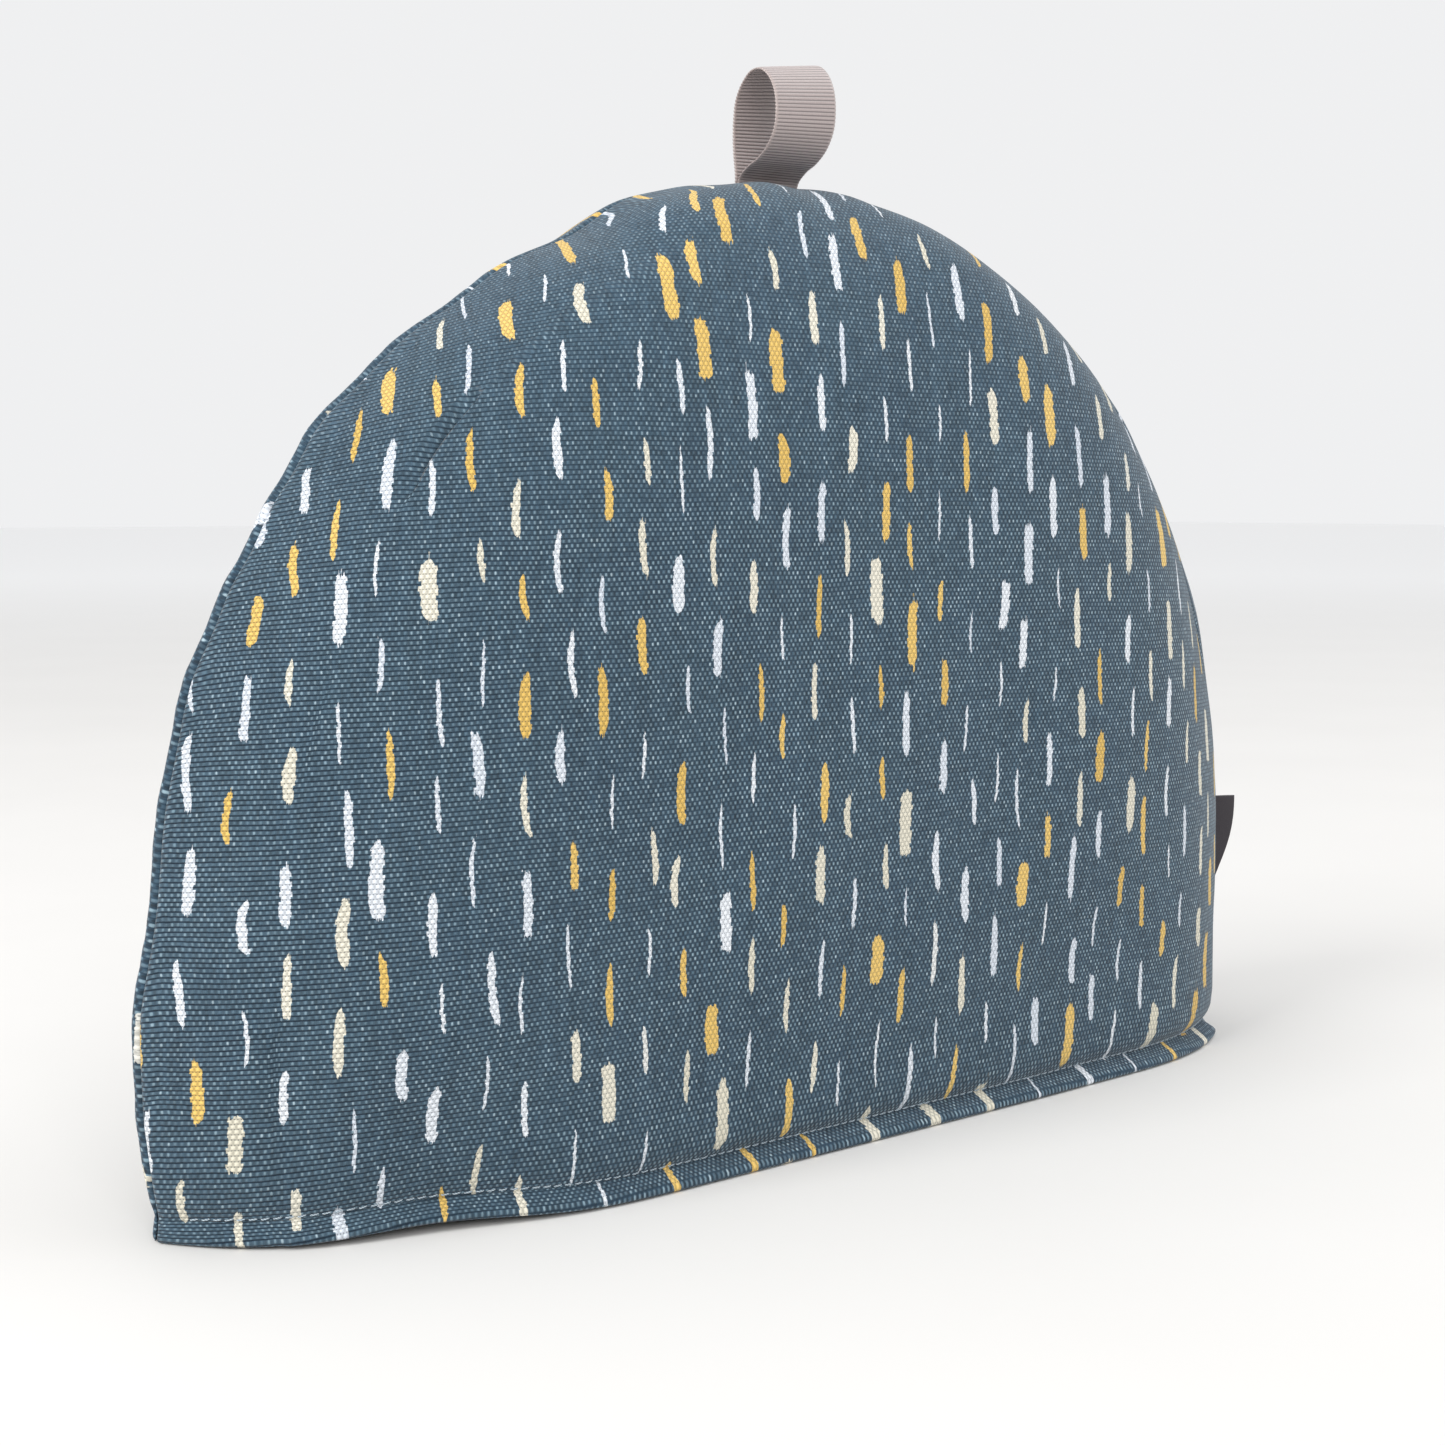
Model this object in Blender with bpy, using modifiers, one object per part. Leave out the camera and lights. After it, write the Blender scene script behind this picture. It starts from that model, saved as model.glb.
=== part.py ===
"""Tea cosy: two padded panels sewn together round a dome-shaped seam, with a
ribbon loop in the top of the seam and a small folded tab in one side of it.

Metres, +Z up. The origin is the middle of the whole cosy in X and Y, on the
surface that the hem rests on. X runs along the seam, the front panel faces -Y.
"""

import math

import bpy
import numpy as np

# Driving sizes of the cosy
WIDTH = 0.360
HEIGHT = 0.246
DEPTH = 0.092
WALL = 0.006
EDGE_WALL = 0.0044
CLEARANCE = 0.0004
MIDDLE_GAP = 0.0010

# From the middle of the dome to the middle of the whole, which the tab makes wider on one side
CENTRE_X = -0.0049
CENTRE_Y = 0.0001

# Curvature of the dome: the seam is a superellipse, and so is the bulge of each panel
SEAM_RISE = 2.87
SEAM_SPREAD = 1.72
BULGE_RISE = 6.4
BULGE_TOP = 2.0
BULGE_SIDE = 5.2

# Hem: a band under a stitched line, which is BAND up the cloth from the hem's fold. Sizes that
# differ along it are named at the left, the middle and the right: the stitched line's height over
# the floor, how far the band kicks out, how far the line is tucked in and the cloth pressed in
BAND = 0.0075
STITCH_HEIGHT = {"left": 0.0054, "middle": 0.0040, "right": 0.0038}
KICK = {"left": 0.0030, "middle": 0.0068, "right": 0.0072}
TUCK = {"left": 0.0004, "middle": 0.0018, "right": 0.0029}
TUCK_REACH = 0.0090
PRESS = {"left": 0.0000, "middle": 0.0028, "right": -0.0022}
PRESS_REACH = 0.070
SINK_REACH = 0.022
SIDES_FROM = {"left": 0.26, "right": 0.42}
SIDES_OVER = {"left": 0.36, "right": 0.42}
HEM_EASE = 0.010
SEAM_KICK = 0.0014
HEM_LEVELS = (0.0, 0.0012, 0.0032, 0.0054, 0.0075, 0.0096, 0.0122, 0.0155, 0.0194, 0.0240)
HEM_WALL_AT = (0.0, 0.0040, 0.0075, 0.0110, 0.0170)
HEM_WALL = (0.40, 0.44, 0.34, 0.70, 1.00)

# Lumps of the seam line: where along it (0 left hem, 1 right hem), how far out, how wide
SEAM_LUMPS = (
    {"along": 0.000, "out": -0.0018, "spread": 0.018},
    {"along": 0.060, "out": 0.0022, "spread": 0.030},
    {"along": 0.125, "out": -0.0006, "spread": 0.020},
    {"along": 0.175, "out": 0.0012, "spread": 0.025},
    {"along": 0.285, "out": 0.0014, "spread": 0.020},
    {"along": 0.345, "out": -0.0010, "spread": 0.018},
    {"along": 0.395, "out": -0.0020, "spread": 0.022},
    {"along": 0.435, "out": 0.0018, "spread": 0.018},
    {"along": 0.515, "out": -0.0012, "spread": 0.030},
    {"along": 0.690, "out": 0.0012, "spread": 0.018},
    {"along": 0.800, "out": 0.0022, "spread": 0.030},
    {"along": 0.948, "out": -0.0120, "spread": 0.025},
    {"along": 0.978, "out": -0.0105, "spread": 0.023},
    {"along": 1.000, "out": -0.0048, "spread": 0.023},
)
LUMP_FADE = 0.045

# The hem stands turned a little against the top, and its front is off the floor in one place
HEM_TWIST = 0.020
TWIST_HEIGHT = 0.110
HEM_LIFT = {"at": -0.127, "rise": 0.0020, "in": 0.0058, "spread": 0.028}
LIFT_HEIGHT = 0.050

# Gathers along the seam: their height, their number, how far they run, and their share in the hem
PUCKER = 0.0007
PUCKERS_ROUND_SEAM = 25
PUCKER_START = 0.006
PUCKER_REACH = 0.016
PUCKER_IN_HEM = 0.3
PUCKER_OUTLINE = 0.6

# Grid of one panel: rings that follow the seam, then rows and columns inside them
RINGS = (0.0, 0.0003, 0.0010, 0.0022, 0.0042, 0.0075, 0.0120, 0.0190, 0.0280)
SIDE_STEPS = 18
TOP_STEPS = 36
SHOULDER_ANGLE = math.radians(47.0)
PADDING_REACH = 0.020
THINNEST_RIM = 0.12
SECTION_FINE = 0.004
SECTION_REACH = 0.060
SECTION_SAMPLES = (161, 225)

# Ribbon loop, in the seam's top
RIBBON_WIDTH = 0.020
RIBBON_THICK = 0.0010
RIBBON_AT = -0.0026
RIBBON_SINK = 0.0055
RIBBON_TILT = 0.045
RIBBON_FOOT = 0.6
RIBBON_RUN = (
    {"forward": -0.0004, "up": 0.0030},
    {"forward": -0.0012, "up": 0.0100},
    {"forward": -0.0012, "up": 0.0180},
    {"forward": -0.0002, "up": 0.0235},
    {"forward": 0.0026, "up": 0.0278},
    {"forward": 0.0062, "up": 0.0303},
    {"forward": 0.0098, "up": 0.0303},
    {"forward": 0.0132, "up": 0.0280},
    {"forward": 0.0156, "up": 0.0240},
    {"forward": 0.0164, "up": 0.0190},
    {"forward": 0.0157, "up": 0.0140},
    {"forward": 0.0130, "up": 0.0098},
    {"forward": 0.0088, "up": 0.0068},
    {"forward": 0.0044, "up": 0.0050},
    {"forward": 0.0013, "up": 0.0027},
)
RIBBON_STEPS = 72

# Folded tab, in the seam's right side
TAB_BOTTOM = 0.034
TAB_LENGTH = 0.0350
TAB_OUT = {"bottom": 0.0185, "top": 0.0176}
TAB_SINK = 0.0030
TAB_THICK = 0.0012
TAB_LEAN = math.radians(20.0)
TAB_STRAIGHT = 0.0018
TAB_BEND = 0.0060
TAB_COLUMNS = 12
TAB_ROWS = 18

# How far past the ribbon and the tab the seam stays open, and how softly it closes again
OPENING_MARGIN = 0.008
OPENING_EASE = 0.008

COLOURS = {
    "front_panel": (0.105, 0.170, 0.225, 0.92),
    "back_panel": (0.105, 0.170, 0.225, 0.92),
    "ribbon_loop": (0.330, 0.265, 0.260, 0.55),
    "side_label": (0.050, 0.045, 0.055, 0.70),
}


def clear_scene():
    for obj in list(bpy.data.objects):
        bpy.data.objects.remove(obj, do_unlink=True)


def fabric(name):
    red, green, blue, roughness = COLOURS[name]
    material = bpy.data.materials.new(name + "_cloth")
    material.use_nodes = True
    shader = material.node_tree.nodes["Principled BSDF"]
    shader.inputs["Base Color"].default_value = (red, green, blue, 1.0)
    shader.inputs["Roughness"].default_value = roughness
    shader.inputs["Metallic"].default_value = 0.0
    return material


def add_object(name, points, faces, collection):
    mesh = bpy.data.meshes.new(name)
    mesh.from_pydata([(x + CENTRE_X, y + CENTRE_Y, z) for x, y, z in points], [], faces)
    mesh.validate()
    mesh.materials.append(fabric(name))
    obj = bpy.data.objects.new(name, mesh)
    collection.objects.link(obj)
    mesh.shade_smooth()
    return obj


def ease(value):
    value = np.clip(value, 0.0, 1.0)
    return value * value * (3.0 - 2.0 * value)


def side_value(sizes, x):
    """A size that is named at the left, the middle and the right, eased between them."""
    across = x / (WIDTH / 2)
    near_left = ease((-across - SIDES_FROM["left"]) / SIDES_OVER["left"])
    near_right = ease((across - SIDES_FROM["right"]) / SIDES_OVER["right"])
    middle = sizes["middle"]
    return middle + near_left * (sizes["left"] - middle) + near_right * (sizes["right"] - middle)


# The seam line

def dense_seam():
    """Points of the plain seam from the left hem over the top to the right hem, with
    the length along it and the outward direction at each."""
    angle = np.linspace(0.0, math.pi, 4001)
    across = np.cos(angle)
    rise = np.sin(angle)
    x = -WIDTH / 2 * np.sign(across) * np.abs(across) ** (2 / SEAM_SPREAD)
    z = HEIGHT * np.abs(rise) ** (2 / SEAM_RISE)
    length = np.concatenate([[0.0], np.cumsum(np.hypot(np.diff(x), np.diff(z)))])
    out_x = np.sign(x) * SEAM_SPREAD / (WIDTH / 2) * np.abs(2 * x / WIDTH) ** (SEAM_SPREAD - 1)
    out_z = SEAM_RISE / HEIGHT * (z / HEIGHT) ** (SEAM_RISE - 1)
    size = np.hypot(out_x, out_z)
    return angle, x, z, length, out_x / size, out_z / size


def seam_stations():
    """The places along the seam, as lengths from its left end, that the panels' rings pass."""
    angle, x, z, length, _, _ = dense_seam()
    total = length[-1]
    rising = slice(0, len(z) // 2)
    hem = np.interp(HEM_LEVELS, z[rising], length[rising])
    shoulder = np.interp(SHOULDER_ANGLE, angle, length)
    side = np.linspace(hem[-1], shoulder, SIDE_STEPS + 1)[1:]
    left = np.concatenate([hem, side])
    top = np.linspace(shoulder, total - shoulder, TOP_STEPS + 1)[1:]
    right = (total - left)[::-1][1:]
    return np.concatenate([left, top, right])


def lumps(along):
    total = 0.0
    for lump in SEAM_LUMPS:
        total = total + lump["out"] * np.exp(-(((along - lump["along"]) / lump["spread"]) ** 2))
    return total


def puckers(along):
    """Small gathers along the seam, uneven in size and spacing."""
    turn = 2 * math.pi * PUCKERS_ROUND_SEAM * along
    return 0.6 * np.sin(turn + 2.1 * np.sin(turn * 0.17)) + 0.4 * np.sin(turn * 0.61 + 1.3)


# The panels

def half_width(z):
    share = np.clip(z / HEIGHT, 0.0, 1.0)
    return WIDTH / 2 * np.maximum(1.0 - share**SEAM_RISE, 1e-9) ** (1 / SEAM_SPREAD)


def bulge(x, z):
    """How far the middle of a panel's padding stands out from the seam's plane."""
    share = np.clip(z / HEIGHT, 0.0, 1.0)
    reach = (DEPTH / 2 - WALL / 2) * np.maximum(1.0 - share**BULGE_RISE, 0.0) ** (1 / BULGE_TOP)
    across = np.clip(np.abs(x) / half_width(z), 0.0, 1.0)
    return reach * (1.0 - across**BULGE_SIDE)


def band_share(z):
    """1 at the hem's fold, 0 at the stitched line and above it."""
    return np.clip(1.0 - z / BAND, 0.0, 1.0)


def hem_shift(x, z):
    """How far the hem's cloth is out of the panel's plain curve."""
    kick = side_value(KICK, x) * band_share(z)
    tuck = side_value(TUCK, x) * (1.0 - ease((z - BAND) / TUCK_REACH))
    press = side_value(PRESS, x) * (1.0 - ease(z / PRESS_REACH))
    return kick - tuck - press


def hem_sink(x, z):
    """How far the cloth is below its place along the cloth: the band leans, so the stitched
    line is nearer to the floor than the band is wide."""
    upright = HEM_LEVELS[1]
    below = np.clip((z - upright) / (BAND - upright), 0.0, 1.0)
    above = 1.0 - ease((z - BAND) / SINK_REACH)
    return (BAND - side_value(STITCH_HEIGHT, x)) * below * above


def twist(x, z):
    """How far a point moves back because the hem is turned against the top."""
    return HEM_TWIST * x * (1.0 - ease(z / TWIST_HEIGHT))


def lift(x, z, facing):
    """How far the front's hem is off the floor there, and how far it is pressed in."""
    near = math.exp(-(((x - HEM_LIFT["at"]) / HEM_LIFT["spread"]) ** 2)) * (facing < 0)
    fade = 1.0 - float(ease(z / LIFT_HEIGHT))
    return HEM_LIFT["rise"] * near * fade, HEM_LIFT["in"] * near * fade


def seam_opening(x, z):
    """Half of the space that the ribbon and the tab take between the panels."""
    ribbon = RIBBON_THICK + 1.25 * CLEARANCE
    from_ribbon = np.abs(x - RIBBON_AT) - RIBBON_WIDTH / 2 - OPENING_MARGIN
    near_top = z > HEIGHT / 2
    at_ribbon = ribbon * (1.0 - ease(from_ribbon / OPENING_EASE)) * near_top
    tab = TAB_THICK / 2 + CLEARANCE
    from_tab = np.abs(z - TAB_BOTTOM - TAB_LENGTH / 2) - TAB_LENGTH / 2 - OPENING_MARGIN
    at_tab = tab * (1.0 - ease(from_tab / OPENING_EASE)) * (x > 0)
    return np.maximum(at_ribbon, at_tab)


def panel_rings():
    """Rings of points that follow the seam, each further in over the panel. A point is
    x, z, its distance from the seam's plane and the thickness of the padding there."""
    _, x, z, length, out_x, out_z = dense_seam()
    stations = seam_stations()
    total = length[-1]
    edge = EDGE_WALL / 2
    fine, coarse = SECTION_SAMPLES
    inward = np.concatenate(
        [np.linspace(0.0, SECTION_FINE, fine)[:-1], np.linspace(SECTION_FINE, SECTION_REACH, coarse)]
    )
    rising = slice(0, len(z) // 2)
    hem_top = np.interp(HEM_LEVELS[-1], z[rising], length[rising])
    rings = np.zeros((len(RINGS), len(stations), 4))
    for index, station in enumerate(stations):
        along = station / total
        at_x, at_z = np.interp(station, length, x), np.interp(station, length, z)
        nx, nz = np.interp(station, length, out_x), np.interp(station, length, out_z)
        in_hem = min(station, total - station) <= hem_top + 1e-6
        if in_hem:
            nx, nz = math.copysign(1.0, nx), 0.0
        section = bulge(at_x - inward * nx, at_z - inward * nz)
        run = np.concatenate([[0.0], np.cumsum(np.hypot(np.diff(inward), np.diff(section)))])
        steep = np.interp(edge, run, section) / edge
        opening = np.maximum(CLEARANCE / 2, seam_opening(at_x, at_z))
        start = opening + edge * (1.0 - min(steep, 1.0))
        swell = lumps(along)
        ripple = PUCKER * puckers(along) * (PUCKER_IN_HEM if in_hem else 1.0)
        for ring, reach in enumerate(RINGS):
            step = np.interp(reach, run, inward)
            px, pz = at_x - step * nx, at_z - step * nz
            settle = math.exp(-((reach / PADDING_REACH) ** 2))
            out = np.interp(reach, run, section) + start * settle + MIDDLE_GAP * (1.0 - settle)
            wave = math.exp(-((reach / PUCKER_REACH) ** 2))
            out += ripple * wave * ease(reach / PUCKER_START)
            moved = swell * math.exp(-reach / LUMP_FADE) + PUCKER_OUTLINE * ripple * wave
            thick = EDGE_WALL + (WALL - EDGE_WALL) * ease((reach - edge) / PADDING_REACH)
            if reach < edge:
                thick *= max(THINNEST_RIM, math.sqrt(1.0 - ((edge - reach) / edge) ** 2))
            rings[ring, index] = px + nx * moved, pz + nz * moved, out, thick
    return rings


def panel_middle(frame):
    """Rows of points over the panel inside the last ring. Rows are level up to the top of
    the hem, and above it they blend from the hem to the curved top."""
    sides = len(HEM_LEVELS) - 1 + SIDE_STEPS
    left = frame[: sides + 1, :2]
    top = frame[sides : sides + TOP_STEPS + 1, :2]
    right = frame[sides + TOP_STEPS :, :2][::-1]
    share = np.linspace(0.0, 1.0, TOP_STEPS + 1)[:, None]
    level = len(HEM_LEVELS) - 1
    rows = [left[i] * (1 - share) + right[i] * share for i in range(level + 1)]
    base = rows[level]
    for i in range(1, SIDE_STEPS):
        up = i / SIDE_STEPS
        across = left[level + i] * (1 - share) + right[level + i] * share
        corners = (
            (1 - up) * ((1 - share) * left[level] + share * right[level])
            + up * ((1 - share) * top[0] + share * top[-1])
        )
        rows.append(across + (1 - up) * base + up * top - corners)
    rows.append(top)
    return np.array(rows)


def panel(name, facing, collection):
    """One padded panel. facing is -1 for the front and 1 for the back."""
    rings = panel_rings()
    count = rings.shape[1]
    middle = panel_middle(rings[-1])
    points, weights, faces = [], [], []

    def add(x, z, out, thick):
        rise, press = lift(x, z, facing)
        off_seam = float(ease(out / HEM_EASE))
        shift = (float(hem_shift(x, z)) - press) * off_seam
        y = facing * (out + shift) + float(twist(x, z))
        end = math.copysign(SEAM_KICK, x) * float(band_share(z)) * (1.0 - off_seam)
        points.append((x + end, y, z - float(hem_sink(x, z)) + rise))
        weights.append(thick / WALL * float(np.interp(z, HEM_WALL_AT, HEM_WALL)))
        return len(points) - 1

    ring_at = [[add(*rings[ring, i]) for i in range(count)] for ring in range(len(RINGS))]
    frame = ring_at[-1]
    sides = len(HEM_LEVELS) - 1 + SIDE_STEPS
    middle_at = []
    for i, row in enumerate(middle):
        line = [frame[i]]
        for j, (x, z) in enumerate(row[1:-1], start=1):
            if i == sides:
                line.append(frame[sides + j])
            else:
                line.append(add(x, z, float(bulge(x, z)) + MIDDLE_GAP, WALL))
        line.append(frame[count - 1 - i])
        middle_at.append(line)
    for grid, turned in ((ring_at, facing < 0), (middle_at, facing > 0)):
        for lower, upper in zip(grid, grid[1:]):
            for a, b, c, d in zip(lower, lower[1:], upper[1:], upper):
                faces.append((d, c, b, a) if turned else (a, b, c, d))
    settle_foot(points, ring_at, middle_at)
    obj = add_object(name, points, faces, collection)
    padding = obj.vertex_groups.new(name="padding")
    for index, weight in enumerate(weights):
        padding.add([index], weight, "REPLACE")
    solid = obj.modifiers.new("padding", "SOLIDIFY")
    solid.thickness = WALL
    solid.offset = 0.0
    solid.vertex_group = "padding"
    solid.thickness_vertex_group = 0.0
    solid.use_even_offset = False
    solid.use_quality_normals = True
    return obj


def settle_foot(points, ring_at, middle_at):
    """The lowest strip of the hem stands upright, so that its edge is flat on the floor."""
    pairs = [(ring[0], ring[1]) for ring in ring_at] + [(ring[-1], ring[-2]) for ring in ring_at]
    pairs += list(zip(middle_at[0][1:-1], middle_at[1][1:-1]))
    for foot, above in pairs:
        x, y, _ = points[above]
        points[foot] = (x, y, points[foot][2])


# The ribbon

def ribbon_centre():
    """The ribbon's middle line in the Y-Z plane: up from the seam at the back, over, and
    down again in front. Both ends run side by side into the seam."""
    half_pitch = (RIBBON_THICK + CLEARANCE) / 2
    top = HEIGHT
    run = [(half_pitch, top - RIBBON_SINK), (half_pitch, top - RIBBON_FOOT * RIBBON_SINK)]
    run += [(-row["forward"], top + row["up"]) for row in RIBBON_RUN]
    run += [(-half_pitch, top - RIBBON_FOOT * RIBBON_SINK), (-half_pitch, top - RIBBON_SINK)]
    run = np.array(run)
    at = np.concatenate([[0.0], np.cumsum(np.hypot(*np.diff(run, axis=0).T))])
    share = np.linspace(0.0, at[-1], RIBBON_STEPS + 1)
    return smooth_through(at, run, share)


def smooth_through(at, values, places):
    """A smooth curve through the values, with no overshoot at the ends."""
    slope = np.gradient(values, at, axis=0)
    index = np.clip(np.searchsorted(at, places) - 1, 0, len(at) - 2)
    step = (at[index + 1] - at[index])[:, None]
    t = ((places - at[index])[:, None]) / step
    return (
        (2 * t**3 - 3 * t**2 + 1) * values[index]
        + (t**3 - 2 * t**2 + t) * step * slope[index]
        + (3 * t**2 - 2 * t**3) * values[index + 1]
        + (t**3 - t**2) * step * slope[index + 1]
    )


def ribbon(collection):
    line = ribbon_centre()
    points, faces = [], []
    for y, z in line:
        tilt = RIBBON_TILT * max(z - HEIGHT, 0.0)
        for side in (-1, 1):
            points.append((RIBBON_AT + side * RIBBON_WIDTH / 2, y, z + side * tilt))
    for i in range(len(line) - 1):
        faces.append((2 * i, 2 * i + 1, 2 * i + 3, 2 * i + 2))
    obj = add_object("ribbon_loop", points, faces, collection)
    solid = obj.modifiers.new("cloth", "SOLIDIFY")
    solid.thickness = RIBBON_THICK
    solid.offset = 0.0
    solid.use_even_offset = True
    return obj


# The tab

def tab_root(z):
    """Where the tab leaves the seam at a height."""
    _, x, height, length, _, _ = dense_seam()
    falling = slice(len(x) // 2, None)
    station = np.interp(z, height[falling][::-1], length[falling][::-1])
    return float(half_width(z)) + float(lumps(station / length[-1])) - EDGE_WALL / 2


def tab(collection):
    """The tab stands straight out of the seam, then leans a little to the front."""
    points, faces = [], []
    for i in range(TAB_ROWS + 1):
        up = i / TAB_ROWS
        z = TAB_BOTTOM + TAB_LENGTH * up
        reach = TAB_SINK + TAB_OUT["bottom"] * (1.0 - up) + TAB_OUT["top"] * up
        x, y, step = tab_root(z) - TAB_SINK, 0.0, reach / TAB_COLUMNS
        for j in range(TAB_COLUMNS + 1):
            points.append((x, y + float(twist(x, z)), z))
            angle = TAB_LEAN * float(ease(((j + 0.5) * step - TAB_SINK - TAB_STRAIGHT) / TAB_BEND))
            x, y = x + step * math.cos(angle), y - step * math.sin(angle)
    for i in range(TAB_ROWS):
        for j in range(TAB_COLUMNS):
            a = i * (TAB_COLUMNS + 1) + j
            faces.append((a, a + 1, a + TAB_COLUMNS + 2, a + TAB_COLUMNS + 1))
    obj = add_object("side_label", points, faces, collection)
    solid = obj.modifiers.new("cloth", "SOLIDIFY")
    solid.thickness = TAB_THICK
    solid.offset = 0.0
    return obj


def build():
    clear_scene()
    collection = bpy.data.collections.new("tea_cosy")
    bpy.context.scene.collection.children.link(collection)
    panel("front_panel", -1, collection)
    panel("back_panel", 1, collection)
    ribbon(collection)
    tab(collection)


build()
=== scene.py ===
"""The looks of the tea cosy: its printed and padded cloth with the hem's stitches, the
ribbon loop and the folded tab, on a pale floor in soft daylight.

Metres, +Z up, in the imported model's frame. The front panel faces -Y.
"""

import math

import bpy
import numpy as np
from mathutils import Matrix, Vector
from mathutils.bvhtree import BVHTree


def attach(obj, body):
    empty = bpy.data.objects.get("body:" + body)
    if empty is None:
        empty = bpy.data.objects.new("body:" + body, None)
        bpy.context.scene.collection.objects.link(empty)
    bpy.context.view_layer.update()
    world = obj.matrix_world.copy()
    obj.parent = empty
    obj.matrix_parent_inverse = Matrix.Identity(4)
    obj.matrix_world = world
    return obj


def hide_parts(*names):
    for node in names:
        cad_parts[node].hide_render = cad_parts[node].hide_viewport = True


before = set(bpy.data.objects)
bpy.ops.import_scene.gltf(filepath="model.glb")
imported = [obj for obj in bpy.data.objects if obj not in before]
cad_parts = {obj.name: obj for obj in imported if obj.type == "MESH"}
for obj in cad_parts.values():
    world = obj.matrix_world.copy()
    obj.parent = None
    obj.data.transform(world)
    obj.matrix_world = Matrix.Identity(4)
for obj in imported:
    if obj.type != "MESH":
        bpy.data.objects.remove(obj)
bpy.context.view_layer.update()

# Sizes of the cosy, the same as in the CAD part
WIDTH = 0.360
HEIGHT = 0.246
DEPTH = 0.092
WALL = 0.006
EDGE_WALL = 0.0044
CLEARANCE = 0.0004
MIDDLE_GAP = 0.0010
CENTRE_X = -0.0049
CENTRE_Y = 0.0001

# Curvature of the seam and of the panels
SEAM_RISE = 2.87
SEAM_SPREAD = 1.72
BULGE_RISE = 6.4
BULGE_TOP = 2.0
BULGE_SIDE = 5.2

# Hem: a band under a stitched line, with sizes at its left, middle and right. The tuck
# above the line is sharper here than in the CAD part
BAND = 0.0075
STITCH_HEIGHT = {"left": 0.0054, "middle": 0.0040, "right": 0.0038}
KICK = {"left": 0.0030, "middle": 0.0068, "right": 0.0072}
TUCK = {"left": 0.0004, "middle": 0.0018, "right": 0.0029}
TUCK_REACH = 0.0062
PRESS = {"left": 0.0000, "middle": 0.0028, "right": -0.0022}
PRESS_REACH = 0.070
SINK_REACH = 0.022
SIDES_FROM = {"left": 0.26, "right": 0.42}
SIDES_OVER = {"left": 0.36, "right": 0.42}
HEM_EASE = 0.010
SEAM_KICK = 0.0014
UPRIGHT = 0.0012
TOE_ROUND = 0.0011
HEM_TOP = 0.0240
HEM_WALL_AT = (0.0, 0.0040, 0.0067, 0.0075, 0.0083, 0.0110, 0.0170)
HEM_WALL = (0.40, 0.44, 0.40, 0.31, 0.40, 0.70, 1.00)
HEM_DENSE = (
    {"at": 0.0, "times": 5.0, "spread": 0.0012},
    {"at": BAND, "times": 4.0, "spread": 0.0011},
)
HEM_TWIST = 0.020
TWIST_HEIGHT = 0.110
HEM_LIFT = {"at": -0.127, "rise": 0.0020, "in": 0.0058, "spread": 0.028}
LIFT_HEIGHT = 0.050

# Lumps of the seam line: where along it, how far out, how wide
SEAM_LUMPS = (
    {"along": 0.000, "out": -0.0018, "spread": 0.018},
    {"along": 0.060, "out": 0.0022, "spread": 0.030},
    {"along": 0.125, "out": -0.0006, "spread": 0.020},
    {"along": 0.175, "out": 0.0012, "spread": 0.025},
    {"along": 0.285, "out": 0.0014, "spread": 0.020},
    {"along": 0.345, "out": -0.0010, "spread": 0.018},
    {"along": 0.395, "out": -0.0020, "spread": 0.022},
    {"along": 0.435, "out": 0.0018, "spread": 0.018},
    {"along": 0.515, "out": -0.0012, "spread": 0.030},
    {"along": 0.690, "out": 0.0012, "spread": 0.018},
    {"along": 0.800, "out": 0.0022, "spread": 0.030},
    {"along": 0.948, "out": -0.0120, "spread": 0.025},
    {"along": 0.978, "out": -0.0105, "spread": 0.023},
    {"along": 1.000, "out": -0.0048, "spread": 0.023},
)
LUMP_FADE = 0.045

# Gathers along the seam, and the finer ones that only the cloth has
PUCKER = 0.0007
PUCKERS_ROUND_SEAM = 25
PUCKER_START = 0.006
PUCKER_REACH = 0.016
PUCKER_IN_HEM = 0.3
PUCKER_OUTLINE = 0.6
GATHER = 0.00034
GATHERS_ROUND_SEAM = 78
GATHER_SLANT = 190.0
GATHER_START = 0.0030
GATHER_REACH = 0.0120

# Unevenness of the padded cloth: each wave's height and its turn for a metre across and up
SOFT_WAVES = (
    {"height": 0.00030, "across": 46, "up": 31, "phase": 0.4},
    {"height": 0.00022, "across": -71, "up": 58, "phase": 1.9},
    {"height": 0.00014, "across": 118, "up": 23, "phase": 4.2},
)
WAVES_FROM_SEAM = {"from": 0.004, "over": 0.020}
WAVES_FROM_HEM = {"from": 0.020, "over": 0.030}

# Grid of one panel
HEM_STEPS = 34
SIDE_STEPS = 92
TOP_STEPS = 200
SHOULDER_ANGLE = math.radians(47.0)
RING_COUNT = 20
RING_REACH = 0.0280
RING_GROWTH = 2.1
PADDING_REACH = 0.020
THINNEST_RIM = 0.12
THINNEST_TOE = 0.2
SEAM_SAMPLES = 4001
HEM_SAMPLES = 2001
FLAT_SAMPLES = (240, 401)
FLAT_TOP = 0.999
FLAT_SIDE = 0.998
SECTION_FINE = 0.004
SECTION_REACH = 0.060
SECTION_SAMPLES = (161, 225)

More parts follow.
